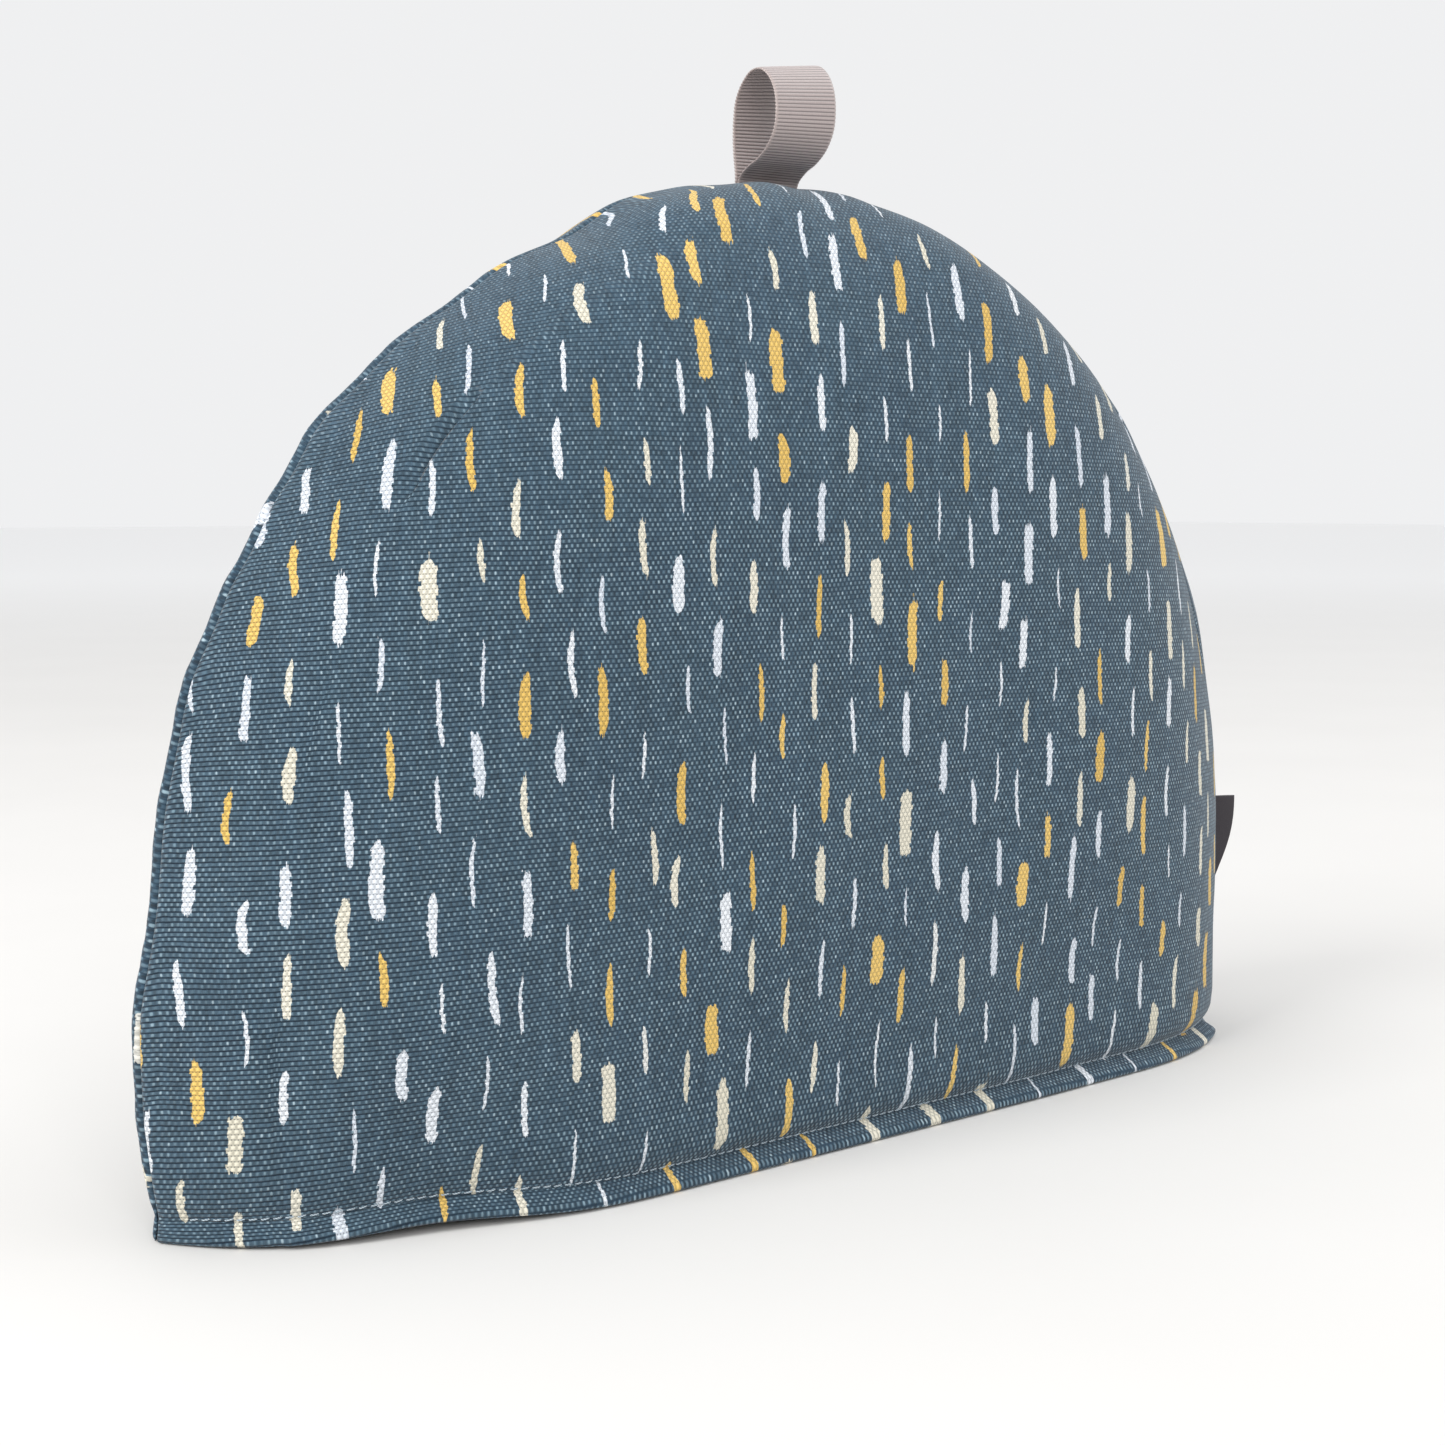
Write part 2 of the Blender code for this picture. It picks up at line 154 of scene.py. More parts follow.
# The ribbon and the tab between the panels. The ribbon runs from the seam's back, by
# distances forward and up from the seam's top, to its front
RIBBON_WIDTH = 0.020
RIBBON_SPACE = 0.0010
RIBBON_AT = -0.0026
RIBBON_SINK = 0.0055
RIBBON_FOOT = 0.6
RIBBON_TILT = 0.045
RIBBON_CLEAR = 1.25
RIBBON_FLAT = 0.86
RIBBON_COLUMNS = {"edge": 7, "flat": 11}
RIBBON_RUN = (
    (-0.0004, 0.0030),
    (-0.0012, 0.0100),
    (-0.0012, 0.0180),
    (-0.0002, 0.0235),
    (0.0026, 0.0278),
    (0.0062, 0.0303),
    (0.0098, 0.0303),
    (0.0132, 0.0280),
    (0.0156, 0.0240),
    (0.0164, 0.0190),
    (0.0157, 0.0140),
    (0.0130, 0.0098),
    (0.0088, 0.0068),
    (0.0044, 0.0050),
    (0.0013, 0.0027),
)
RIBBON_THICK = 0.0006
RIB_PITCH = 0.00094
RIB_HEIGHT = 0.00013
STEPS_A_RIB = 5
SELVEDGE = 0.0008
PICOT = 0.00009
TAB_BOTTOM = 0.034
TAB_LENGTH = 0.0350
TAB_OUT = {"bottom": 0.0185, "top": 0.0176}
TAB_SINK = 0.0030
TAB_SPACE = 0.0012
TAB_LEAN = math.radians(20.0)
TAB_STRAIGHT = 0.0018
TAB_BEND = 0.0060
TAB_TAPE = 0.00034
TAB_APART = 0.00006
TAB_OPEN = {"bottom": 0.0002, "top": 0.0017}
TAB_FOLD = 0.0005
TAB_FOLD_ROUND = 0.7
TAB_ROWS = 34
TAB_COLUMNS = 30
OPENING_MARGIN = 0.008
OPENING_EASE = 0.008

# The line of stitches round the hem
STITCH_PITCH = 0.0027
STITCH_LENGTH = 0.0022
STITCH_RADIUS = 0.00019
STITCH_SLANT = 0.00022
STITCH_DIP = 0.00040
STITCH_PROUD = 0.8
STITCH_POINTS = 8
STITCH_SIDES = 6
STITCH_END = 0.0055
STITCH_UP = 0.0004
STITCH_STEP = 0.0004
STITCH_CATCH = 0.0065
STITCH_SEEN_FROM = {"out": 0.05, "up": 0.02}

# How the flat cloth lies on the panel
FLAT_SHIFT = {"front": (0.6, 0.2), "back": (1.7, 0.2)}
ROW_DROOP = 0.82
FLAT_SHARE = 0.60
WARP_SKEW = 0.46
SEAM_INSIDE = 0.985
EDGE_STRETCH = 1.6

# Weave, in millimetres. Threads wander by slow and quick noise. Weft rows are painted lit and
# shaded most towards the low end of the weft, and the weave's painted shade and highlights are
# fainter there and up the warp
WEFT_PITCH = 1.10
WARP_PITCH = 0.70
WEFT_WANDER = (
    {"by": 0.9, "weft": 34.0, "warp": 26.0, "seed": 3.0},
    {"by": 0.14, "weft": 1.9, "warp": 1.3, "seed": 0.0},
)
WARP_WANDER = (
    {"by": 1.1, "weft": 30.0, "warp": 30.0, "seed": 8.0},
    {"by": 0.20, "weft": 1.6, "warp": 2.2, "seed": 5.0},
)
SHADED_ROWS = {"from": 425.0, "to": 560.0, "least": 0.42}
FINE = {"from": 330.0, "to": 440.0}
DEPTH_OF_WEAVE = {"plain": 1.02, "shaded_rows": 0.48, "fine": 0.40}
WEAVE_RELIEF = 0.00028
WEAVE_STRENGTH = 0.8

# Print: one brushed dash in each cell of a staggered grid, in millimetres
CELL_WIDE = 10.4
CELL_TALL = 23.0
CELL_STAGGER = 0.5
CELL_DRIFT = 0.24
DASH_ASIDE = 4.4
DASH_ABOVE = 5.0
DASH_HALF = {"least": 4.9, "tall": 3.2, "wide": 1.2}
DASH_WIDTH = {"least": 0.50, "plain": 0.38, "wide": 1.20}
DASH_BOW = 1.5
DASH_LEAN = 0.9
DASH_FRAY = {"noise": 0.40, "row": 0.34, "column": 0.26}
INK_SOFT = {"from": -0.05, "to": 0.14}
WHITE_TO = 0.46
CREAM_TO = 0.72

# Colours, 8-bit: one, or the two between which a thing varies
SLATE = ((50, 74, 94), (60, 84, 100))
# Lighter weft thread, with a painted highlight on it
SLATE_LIT = ((128, 154, 168), (152, 176, 188))
# Painted shade for the pits between the threads
SLATE_PIT_SHADE = ((10, 20, 32), (18, 30, 44))
# A painted glint on the tops of the brightest beads
SLATE_GLINT = (190, 206, 214)
WHITE_INK = ((210, 218, 229), (228, 233, 239))
CREAM_INK = ((217, 212, 194), (228, 224, 209))
MUSTARD_INK = ((217, 180, 96), (230, 195, 114))
# From painted shade low in the weave to painted highlight on the threads
PLAIN_BLUE = ((30, 44, 58), (74, 96, 112))
# From painted shade in the ply grooves to the pale thread
THREAD_BLUE = ((104, 124, 140), (196, 208, 216))
# Painted shade in the grooves between the ribbon's cords
RIBBON_GROOVE_SHADE = ((78, 68, 67), (96, 84, 82))
RIBBON_CORD = ((154, 141, 139), (182, 168, 166))
RIBBON_SELVEDGE = (166, 151, 147)
CHARCOAL = ((38, 34, 39), (62, 56, 62))

# Floor, its colours as light: near the cosy, between two, and far from it
FLOOR_NEAR = ((0.71, 0.70, 0.685, 1.0), (0.75, 0.74, 0.725, 1.0))
FLOOR_FAR = (0.95, 0.95, 0.95, 1.0)
FLOOR_FADE = {"from": 0.7, "to": 4.5}
FLOOR_HALF = 12.0
FLOOR_DROP = 0.0002

# Camera, from the photograph's outline
PIXELS = 1445
FOCAL_PIXELS = 2100
CAMERA_AT = (-0.3608, -0.4419, 0.1651)
CAMERA_YAW = math.radians(37.4759)
CAMERA_PITCH = math.radians(6.0481)
SENSOR = 36.0

# Daylight: the room's white all round, a window and two softer areas, all lighting the middle
SKY = {"colour": (0.985, 0.99, 1.0, 1.0), "strength": 0.88}
LIT_AT = (0.0, 0.0, 0.12)
WINDOW = {"at": (-0.75, -1.75, 1.15), "size": 0.9, "power": 11.5, "colour": (1.0, 0.985, 0.96)}
SIDE = {"at": (-1.76, -0.12, 1.40), "size": 1.0, "power": 27.5, "colour": (1.0, 0.99, 0.975)}
ROOM = {"at": (1.4, -0.5, 1.7), "size": 1.6, "power": 11.0, "colour": (0.97, 0.985, 1.0)}


def ease(value):
    """A smooth step from 0 to 1."""
    value = np.clip(value, 0.0, 1.0)
    return value * value * (3.0 - 2.0 * value)


def side_value(sizes, x):
    """A size of the hem at x, from its values at the left, middle and right."""
    across = x / (WIDTH / 2)
    near_left = ease((-across - SIDES_FROM["left"]) / SIDES_OVER["left"])
    near_right = ease((across - SIDES_FROM["right"]) / SIDES_OVER["right"])
    middle = sizes["middle"]
    return middle + near_left * (sizes["left"] - middle) + near_right * (sizes["right"] - middle)


# Shape of the seam and the panels

def dense_seam():
    """The seam's points from hem to hem, the length along it and its outward direction."""
    angle = np.linspace(0.0, math.pi, SEAM_SAMPLES)
    across = np.cos(angle)
    x = -WIDTH / 2 * np.sign(across) * np.abs(across) ** (2 / SEAM_SPREAD)
    z = HEIGHT * np.abs(np.sin(angle)) ** (2 / SEAM_RISE)
    length = np.concatenate([[0.0], np.cumsum(np.hypot(np.diff(x), np.diff(z)))])
    out_x = np.sign(x) * SEAM_SPREAD / (WIDTH / 2) * np.abs(2 * x / WIDTH) ** (SEAM_SPREAD - 1)
    out_z = SEAM_RISE / HEIGHT * (z / HEIGHT) ** (SEAM_RISE - 1)
    size = np.hypot(out_x, out_z)
    return angle, x, z, length, out_x / size, out_z / size


def hem_levels():
    """Heights of the hem's rows, close together at its fold and at the stitched line."""
    height = HEM_TOP * np.linspace(0.0, 1.0, HEM_SAMPLES)
    dense = 1.0
    for line in HEM_DENSE:
        dense = dense + line["times"] * np.exp(-(((height - line["at"]) / line["spread"]) ** 2))
    count = np.concatenate([[0.0], np.cumsum((dense[1:] + dense[:-1]) / 2)])
    levels = np.interp(np.linspace(0.0, count[-1], HEM_STEPS + 1), count, height)
    levels[np.argmin(np.abs(levels - BAND))] = BAND
    return levels


def seam_stations():
    """Lengths along the seam at which the panel's columns of points start."""
    angle, _, z, length, _, _ = dense_seam()
    total = length[-1]
    rising = slice(0, len(z) // 2)
    hem = np.interp(hem_levels(), z[rising], length[rising])
    shoulder = np.interp(SHOULDER_ANGLE, angle, length)
    side = np.linspace(hem[-1], shoulder, SIDE_STEPS + 1)[1:]
    left = np.concatenate([hem, side])
    top = np.linspace(shoulder, total - shoulder, TOP_STEPS + 1)[1:]
    right = (total - left)[::-1][1:]
    return np.concatenate([left, top, right])


def lumps(along):
    """How far out the seam's uneven outline is, at a share of its length."""
    total = 0.0
    for lump in SEAM_LUMPS:
        total = total + lump["out"] * np.exp(-(((along - lump["along"]) / lump["spread"]) ** 2))
    return total


def puckers(along):
    """Coarse gathers, from -1 to 1, at a share of the seam's length."""
    turn = 2 * math.pi * PUCKERS_ROUND_SEAM * along
    return 0.6 * np.sin(turn + 2.1 * np.sin(turn * 0.17)) + 0.4 * np.sin(turn * 0.61 + 1.3)


def gathers(along, reach):
    """Fine slanting gathers that run from the seam into the cloth."""
    turn = 2 * math.pi * GATHERS_ROUND_SEAM * along
    slant = GATHER_SLANT * reach * np.sign(along - 0.5)
    wave = np.sin(turn + slant + 1.7 * np.sin(turn * 0.13))
    wave = wave * (0.6 + 0.4 * np.sin(turn * 0.29 + 0.8))
    return wave * np.exp(-((reach / GATHER_REACH) ** 2)) * ease(reach / GATHER_START)


def half_width(z):
    """How far the plain seam line is from the middle at a height."""
    share = np.clip(z / HEIGHT, 0.0, 1.0)
    return WIDTH / 2 * np.maximum(1.0 - share**SEAM_RISE, 1e-9) ** (1 / SEAM_SPREAD)


def seam_height(x):
    """Height of the plain seam line at x."""
    share = np.clip(np.abs(2 * x / WIDTH), 0.0, 1.0)
    return HEIGHT * np.maximum(1.0 - share**SEAM_SPREAD, 1e-9) ** (1 / SEAM_RISE)


def bulge(x, z):
    """Distance of the padding's middle from the seam's plane."""
    share = np.clip(z / HEIGHT, 0.0, 1.0)
    reach = (DEPTH / 2 - WALL / 2) * np.maximum(1.0 - share**BULGE_RISE, 0.0) ** (1 / BULGE_TOP)
    across = np.clip(np.abs(x) / half_width(z), 0.0, 1.0)
    return reach * (1.0 - across**BULGE_SIDE)


def band_share(z):
    """1 at the hem's lower edge, 0 at the line of stitches and above."""
    return np.clip(1.0 - z / BAND, 0.0, 1.0)


def hem_shift(x, z):
    """How far out the hem's band kicks, and how far in the cloth above it is drawn."""
    kick = side_value(KICK, x) * band_share(z)
    tuck = side_value(TUCK, x) * (1.0 - ease((z - BAND) / TUCK_REACH))
    press = side_value(PRESS, x) * (1.0 - ease(z / PRESS_REACH))
    return kick - tuck - press


def hem_sink(x, z):
    """How much lower the line of stitches lies than in a level band."""
    below = np.clip((z - UPRIGHT) / (BAND - UPRIGHT), 0.0, 1.0)
    above = 1.0 - ease((z - BAND) / SINK_REACH)
    return (BAND - side_value(STITCH_HEIGHT, x)) * below * above


def twist(x, z):
    """How far the hem's ends turn out of the seam's plane."""
    return HEM_TWIST * x * (1.0 - ease(z / TWIST_HEIGHT))


def lift(x, z, facing):
    """Rise and draw of the place where the front's hem is off the floor."""
    near = np.exp(-(((x - HEM_LIFT["at"]) / HEM_LIFT["spread"]) ** 2)) * (facing < 0)
    fade = 1.0 - ease(z / LIFT_HEIGHT)
    return HEM_LIFT["rise"] * near * fade, HEM_LIFT["in"] * near * fade


def seam_opening(x, z):
    """Half the gap between the panels where the ribbon or the tab goes in."""
    ribbon = RIBBON_SPACE + RIBBON_CLEAR * CLEARANCE
    from_ribbon = np.abs(x - RIBBON_AT) - RIBBON_WIDTH / 2 - OPENING_MARGIN
    at_ribbon = ribbon * (1.0 - ease(from_ribbon / OPENING_EASE)) * (z > HEIGHT / 2)
    tab = TAB_SPACE / 2 + CLEARANCE
    from_tab = np.abs(z - TAB_BOTTOM - TAB_LENGTH / 2) - TAB_LENGTH / 2 - OPENING_MARGIN
    at_tab = tab * (1.0 - ease(from_tab / OPENING_EASE)) * (x > 0)
    return np.maximum(at_ribbon, at_tab)


def ring_reaches():
    """Distances of the rings from the seam."""
    return RING_REACH * np.linspace(0.0, 1.0, RING_COUNT) ** RING_GROWTH


def panel_rings():
    """Rings of points that follow the seam. A point is x, z, its distance from the seam's
    plane and the padding's thickness there."""
    _, x, z, length, out_x, out_z = dense_seam()
    stations, reaches = seam_stations(), ring_reaches()
    total = length[-1]
    edge = EDGE_WALL / 2
    fine, coarse = SECTION_SAMPLES
    inward = np.linspace(0.0, SECTION_FINE, fine)[:-1]
    inward = np.concatenate([inward, np.linspace(SECTION_FINE, SECTION_REACH, coarse)])
    rising = slice(0, len(z) // 2)
    hem_top = np.interp(HEM_TOP, z[rising], length[rising])
    rings = np.zeros((len(reaches), len(stations), 4))
    for index, station in enumerate(stations):
        along = station / total
        at_x, at_z = np.interp(station, length, x), np.interp(station, length, z)
        nx, nz = np.interp(station, length, out_x), np.interp(station, length, out_z)
        in_hem = min(station, total - station) <= hem_top + 1e-6
        if in_hem:
            nx, nz = math.copysign(1.0, nx), 0.0
        section = bulge(at_x - inward * nx, at_z - inward * nz)
        run = np.concatenate([[0.0], np.cumsum(np.hypot(np.diff(inward), np.diff(section)))])
        steep = np.interp(edge, run, section) / edge
        opening = np.maximum(CLEARANCE / 2, seam_opening(at_x, at_z))
        start = opening + edge * (1.0 - min(steep, 1.0))
        share_of_hem = PUCKER_IN_HEM if in_hem else 1.0
        ripple = PUCKER * puckers(along) * share_of_hem
        step = np.interp(reaches, run, inward)
        settle = np.exp(-((reaches / PADDING_REACH) ** 2))
        out = np.interp(reaches, run, section) + start * settle + MIDDLE_GAP * (1.0 - settle)
        wave = np.exp(-((reaches / PUCKER_REACH) ** 2))
        out += ripple * wave * ease(reaches / PUCKER_START)
        out += GATHER * gathers(along, reaches) * share_of_hem
        moved = lumps(along) * np.exp(-reaches / LUMP_FADE) + PUCKER_OUTLINE * ripple * wave
        thick = EDGE_WALL + (WALL - EDGE_WALL) * ease((reaches - edge) / PADDING_REACH)
        rim = np.sqrt(np.maximum(1.0 - (np.maximum(edge - reaches, 0.0) / edge) ** 2, 0.0))
        thick *= np.maximum(THINNEST_RIM, rim)
        rings[:, index, 0] = at_x - step * nx + nx * moved
        rings[:, index, 1] = at_z - step * nz + nz * moved
        rings[:, index, 2] = out
        rings[:, index, 3] = thick
    return rings


def panel_middle(edge_line):
    """Rows of points inside the last ring: level in the hem, then blended to the top."""
    sides = HEM_STEPS + SIDE_STEPS
    left = edge_line[: sides + 1, :2]
    top = edge_line[sides : sides + TOP_STEPS + 1, :2]
    right = edge_line[sides + TOP_STEPS :, :2][::-1]
    share = np.linspace(0.0, 1.0, TOP_STEPS + 1)[:, None]
    rows = [left[i] * (1 - share) + right[i] * share for i in range(HEM_STEPS + 1)]
    base = rows[HEM_STEPS]
    for i in range(1, SIDE_STEPS):
        up = i / SIDE_STEPS
        across = left[HEM_STEPS + i] * (1 - share) + right[HEM_STEPS + i] * share
        corners = (1 - up) * base[[0, -1]] + up * top[[0, -1]]
        blended = corners[0] * (1 - share) + corners[1] * share
        rows.append(across + (1 - up) * base + up * top - blended)
    rows.append(top)
    return np.array(rows)


def table_value(table, row, column):
    """The table's value at fractional places, each from 0 to 1."""
    row = np.clip(row, 0.0, 1.0) * (table.shape[0] - 1)
    column = np.clip(column, 0.0, 1.0) * (table.shape[1] - 1)
    i = np.minimum(row.astype(int), table.shape[0] - 2)
    j = np.minimum(column.astype(int), table.shape[1] - 2)
    a, b = row - i, column - j
    low = table[i, j] * (1 - b) + table[i, j + 1] * b
    high = table[i + 1, j] * (1 - b) + table[i + 1, j + 1] * b
    return low * (1 - a) + high * a


def within_seam(x, z):
    """The point, brought towards the hem's middle if it is past the plain seam line."""
    across, up = 2 * np.abs(x) / WIDTH, np.maximum(z, 1e-6) / HEIGHT
    share = np.ones(len(x))
    for _ in range(6):
        wide, tall = (share * across) ** SEAM_SPREAD, (share * up) ** SEAM_RISE
        slope = (SEAM_SPREAD * wide + SEAM_RISE * tall) / share
        share = np.minimum(share - (wide + tall - SEAM_INSIDE) / np.maximum(slope, 1e-6), 1.0)
    return np.abs(x) * share, z * share


def flat_place(x, z):
    """Where a point of the panel lies on the flat cloth: along the weft from the middle,
    and up the warp from the hem. Rows droop towards the sides, and the warp is askew where
    the panel leans back."""
    lines, samples = FLAT_SAMPLES
    share = np.linspace(0.0, 1.0, samples)
    heights = np.linspace(0.0, FLAT_TOP * HEIGHT, lines)[:, None]
    places = share[None, :] * half_width(heights)
    weft = np.hypot(np.diff(places, axis=1), np.diff(bulge(places, heights), axis=1))
    weft = np.concatenate([np.zeros((len(heights), 1)), np.cumsum(weft, axis=1)], axis=1)
    across = np.linspace(0.0, FLAT_SIDE * WIDTH / 2, lines)[:, None]
    levels = share[None, :] * seam_height(across)
    warp = np.hypot(np.diff(levels, axis=1), np.diff(bulge(across, levels), axis=1))
    warp = np.concatenate([np.zeros((len(across), 1)), np.cumsum(warp, axis=1)], axis=1)
    near_x, near_z = within_seam(x, z)
    u = table_value(weft, near_z / HEIGHT / FLAT_TOP, near_x / half_width(near_z))
    v = table_value(warp, 2 * near_x / WIDTH / FLAT_SIDE, near_z / seam_height(near_x))
    u = near_x + FLAT_SHARE * (u - near_x) + EDGE_STRETCH * (np.abs(x) - near_x)
    askew = WARP_SKEW * (bulge(x, z * 0.0) - bulge(near_x, near_z))
    return np.sign(x) * u - askew, v + EDGE_STRETCH * (z - near_z) + ROW_DROOP * np.abs(x) ** 3


def soft_waves(x, z):
    """The slight unevenness of padded cloth."""
    total = 0.0
    for wave in SOFT_WAVES:
        turn = wave["across"] * x + wave["up"] * z + wave["phase"]
        total = total + wave["height"] * np.sin(turn)
    return total


def cloth_points(places, facing):
    """Points of the panel at x, z, out and thick, and shares of its full thickness."""
    x, z, out, thick = places.T
    level = np.maximum(z, UPRIGHT)
    wall = np.interp(z, HEM_WALL_AT, HEM_WALL)
    toe = np.clip(1.0 - z / TOE_ROUND, 0.0, 1.0)
    wall *= np.maximum(np.sqrt(1.0 - toe**2), THINNEST_TOE)
    rise, press = lift(x, level, facing)
    off_seam = ease(out / HEM_EASE)
    shift = (hem_shift(x, level) - press) * off_seam
    waves = soft_waves(x, z) * ease((out - WAVES_FROM_SEAM["from"]) / WAVES_FROM_SEAM["over"])
    waves *= ease((z - WAVES_FROM_HEM["from"]) / WAVES_FROM_HEM["over"])
    y = facing * (out + shift + waves) + twist(x, level)
    end = np.sign(x) * SEAM_KICK * band_share(level) * (1.0 - off_seam)
    points = np.stack([x + end + CENTRE_X, y + CENTRE_Y, z - hem_sink(x, z) + rise], axis=1)
    return points, thick / WALL * wall


def grid_faces(grid, turned):
    """Four-sided faces between the points of a grid, facing the other way if turned."""
    a, b, c, d = grid[:-1, :-1], grid[:-1, 1:], grid[1:, 1:], grid[1:, :-1]
    order = (d, c, b, a) if turned else (a, b, c, d)
    return np.stack([corner.ravel() for corner in order], axis=1).tolist()


def new_mesh(name, points, faces, flat=None):
    """A smooth mesh object, with the flat place of every point in a map if it has one."""
    mesh = bpy.data.meshes.new(name)
    mesh.from_pydata([tuple(point) for point in points], [], [tuple(face) for face in faces])
    if flat:
        corners = np.zeros(len(mesh.loops), np.int32)
        mesh.loops.foreach_get("vertex_index", corners)
        values = np.stack([value[corners] for value in flat], axis=1).astype(np.float32)
        mesh.uv_layers.new(name="cloth").data.foreach_set("uv", values.ravel())
    mesh.shade_smooth()
    obj = bpy.data.objects.new(name, mesh)
    bpy.context.scene.collection.objects.link(obj)
    return obj


def apply_modifiers(obj):
    """Leave the object with the mesh that its modifiers make."""
    graph = bpy.context.evaluated_depsgraph_get()
    mesh = bpy.data.meshes.new_from_object(obj.evaluated_get(graph))
    obj.modifiers.clear()
    obj.vertex_groups.clear()
    obj.data = mesh


def panel_cloth(name, facing, flat_shift):
    """One padded panel of printed cloth, closed, with its rounded edges."""
    rings = panel_rings()
    count = rings.shape[1]
    middle = panel_middle(rings[-1])
    sides = HEM_STEPS + SIDE_STEPS
    inner = middle[:-1, 1:-1].reshape(-1, 2)
    inner_out = bulge(inner[:, 0], inner[:, 1]) + MIDDLE_GAP
    filled = np.full(len(inner), WALL)
    inner_places = np.stack([inner[:, 0], inner[:, 1], inner_out, filled], axis=1)
    places = np.concatenate([rings.reshape(-1, 4), inner_places])
    points, weight = cloth_points(places, facing)
    u, v = flat_place(places[:, 0], places[:, 1])
    ring_at = np.arange(rings.shape[0] * count).reshape(rings.shape[0], count)
    edge_line = ring_at[-1]
    middle_at = np.zeros((sides + 1, TOP_STEPS + 1), int)
    middle_at[:, 0] = edge_line[: sides + 1]
    middle_at[:, -1] = edge_line[::-1][: sides + 1]
    middle_at[-1] = edge_line[sides : sides + TOP_STEPS + 1]
    middle_at[:-1, 1:-1] = ring_at.size + np.arange(len(inner)).reshape(sides, TOP_STEPS - 1)
    faces = grid_faces(ring_at, facing < 0) + grid_faces(middle_at, facing > 0)
    obj = new_mesh(name, points, faces, (u * -facing + flat_shift[0], v + flat_shift[1]))
    padding = obj.vertex_groups.new(name="padding")
    for index, share in enumerate(weight.tolist()):
        padding.add([index], share, "REPLACE")
    solid = obj.modifiers.new("padding", "SOLIDIFY")
    solid.thickness = WALL
    solid.offset = 0.0
    solid.vertex_group = "padding"
    solid.thickness_vertex_group = 0.0
    solid.use_even_offset = False
    solid.use_quality_normals = True
    solid.material_offset = 1
    return obj


# The hem's stitches

def tube(path, radius, sides):
    """Points and faces of a closed round thread along a path."""
    path = np.asarray(path)
    along = np.gradient(path, axis=0)
    along /= np.linalg.norm(along, axis=1)[:, None]
    side = np.cross(along, (0.0, 0.0, 1.0))
    side /= np.linalg.norm(side, axis=1)[:, None]
    up = np.cross(side, along)
    angle = np.linspace(0.0, 2 * math.pi, sides, endpoint=False)
    share = np.linspace(-1.0, 1.0, len(path))
    size = radius * np.sqrt(np.maximum(1.0 - share**8, 0.05))
    ring = np.cos(angle)[None, :, None] * side[:, None] + np.sin(angle)[None, :, None] * up[:, None]
    points = (path[:, None] + size[:, None, None] * ring).reshape(-1, 3)
    at = np.arange(len(points)).reshape(len(path), sides)
    at = np.concatenate([at, at[:, :1]], axis=1)
    ends = [range(sides), range(len(points) - 1, len(points) - 1 - sides, -1)]
    return points, grid_faces(at, True) + ends


def hem_stitches(name, cloth, facing):
    """A line of separate stitches along the hem, each dipping into the cloth at its ends."""
    corners = [vertex.co.copy() for vertex in cloth.data.vertices]
    surface = BVHTree.FromPolygons(corners, [tuple(face.vertices) for face in cloth.data.polygons])
    x = np.arange(-WIDTH / 2 + STITCH_END, WIDTH / 2 - STITCH_END, STITCH_STEP)
    up, thick = np.full(len(x), BAND + STITCH_UP), np.full(len(x), WALL)
    places = np.stack([x, up, bulge(x, BAND) + MIDDLE_GAP, thick], axis=1)
    seen_from = Vector((0.0, facing * STITCH_SEEN_FROM["out"], STITCH_SEEN_FROM["up"]))
    line, normals = [], []
    for middle in cloth_points(places, facing)[0]:
        middle = Vector(middle)
        start = middle + seen_from
        hit, normal, _, _ = surface.ray_cast(start, middle - start)
        if hit is not None and (hit - middle).length < STITCH_CATCH:
            line.append(hit)
            normals.append(normal)
    line, normals = np.array(line), np.array(normals)
    run = np.concatenate([[0.0], np.cumsum(np.linalg.norm(np.diff(line, axis=0), axis=1))])
    points, faces = [], []
    for number in range(int(run[-1] / STITCH_PITCH)):
        share = np.linspace(0.0, 1.0, STITCH_POINTS)
        place = number * STITCH_PITCH + share * STITCH_LENGTH
        path = np.stack([np.interp(place, run, line[:, axis]) for axis in range(3)], axis=1)
        normal = np.stack([np.interp(place, run, normals[:, axis]) for axis in range(3)], axis=1)
        height = STITCH_RADIUS * STITCH_PROUD - STITCH_DIP * np.abs(2 * share - 1) ** 4
        path += normal * height[:, None]
        path[:, 2] += STITCH_SLANT * (2 * share - 1) * (0.7 + 0.3 * math.sin(2.3 * number))
        more, more_faces = tube(path, STITCH_RADIUS, STITCH_SIDES)
        faces += [[corner + len(points) * len(more) for corner in face] for face in more_faces]
        points.append(more)
    return new_mesh(name, np.concatenate(points), faces)


# The ribbon

def smooth_through(at, values, places):
    """A smooth curve through values that are known at some lengths, at other lengths."""
    slope = np.gradient(values, at, axis=0)
    index = np.clip(np.searchsorted(at, places) - 1, 0, len(at) - 2)
    step = (at[index + 1] - at[index])[:, None]
    t = ((places - at[index])[:, None]) / step
    return (
        (2 * t**3 - 3 * t**2 + 1) * values[index]
        + (t**3 - 2 * t**2 + t) * step * slope[index]
        + (3 * t**2 - 2 * t**3) * values[index + 1]
        + (t**3 - t**2) * step * slope[index + 1]
    )


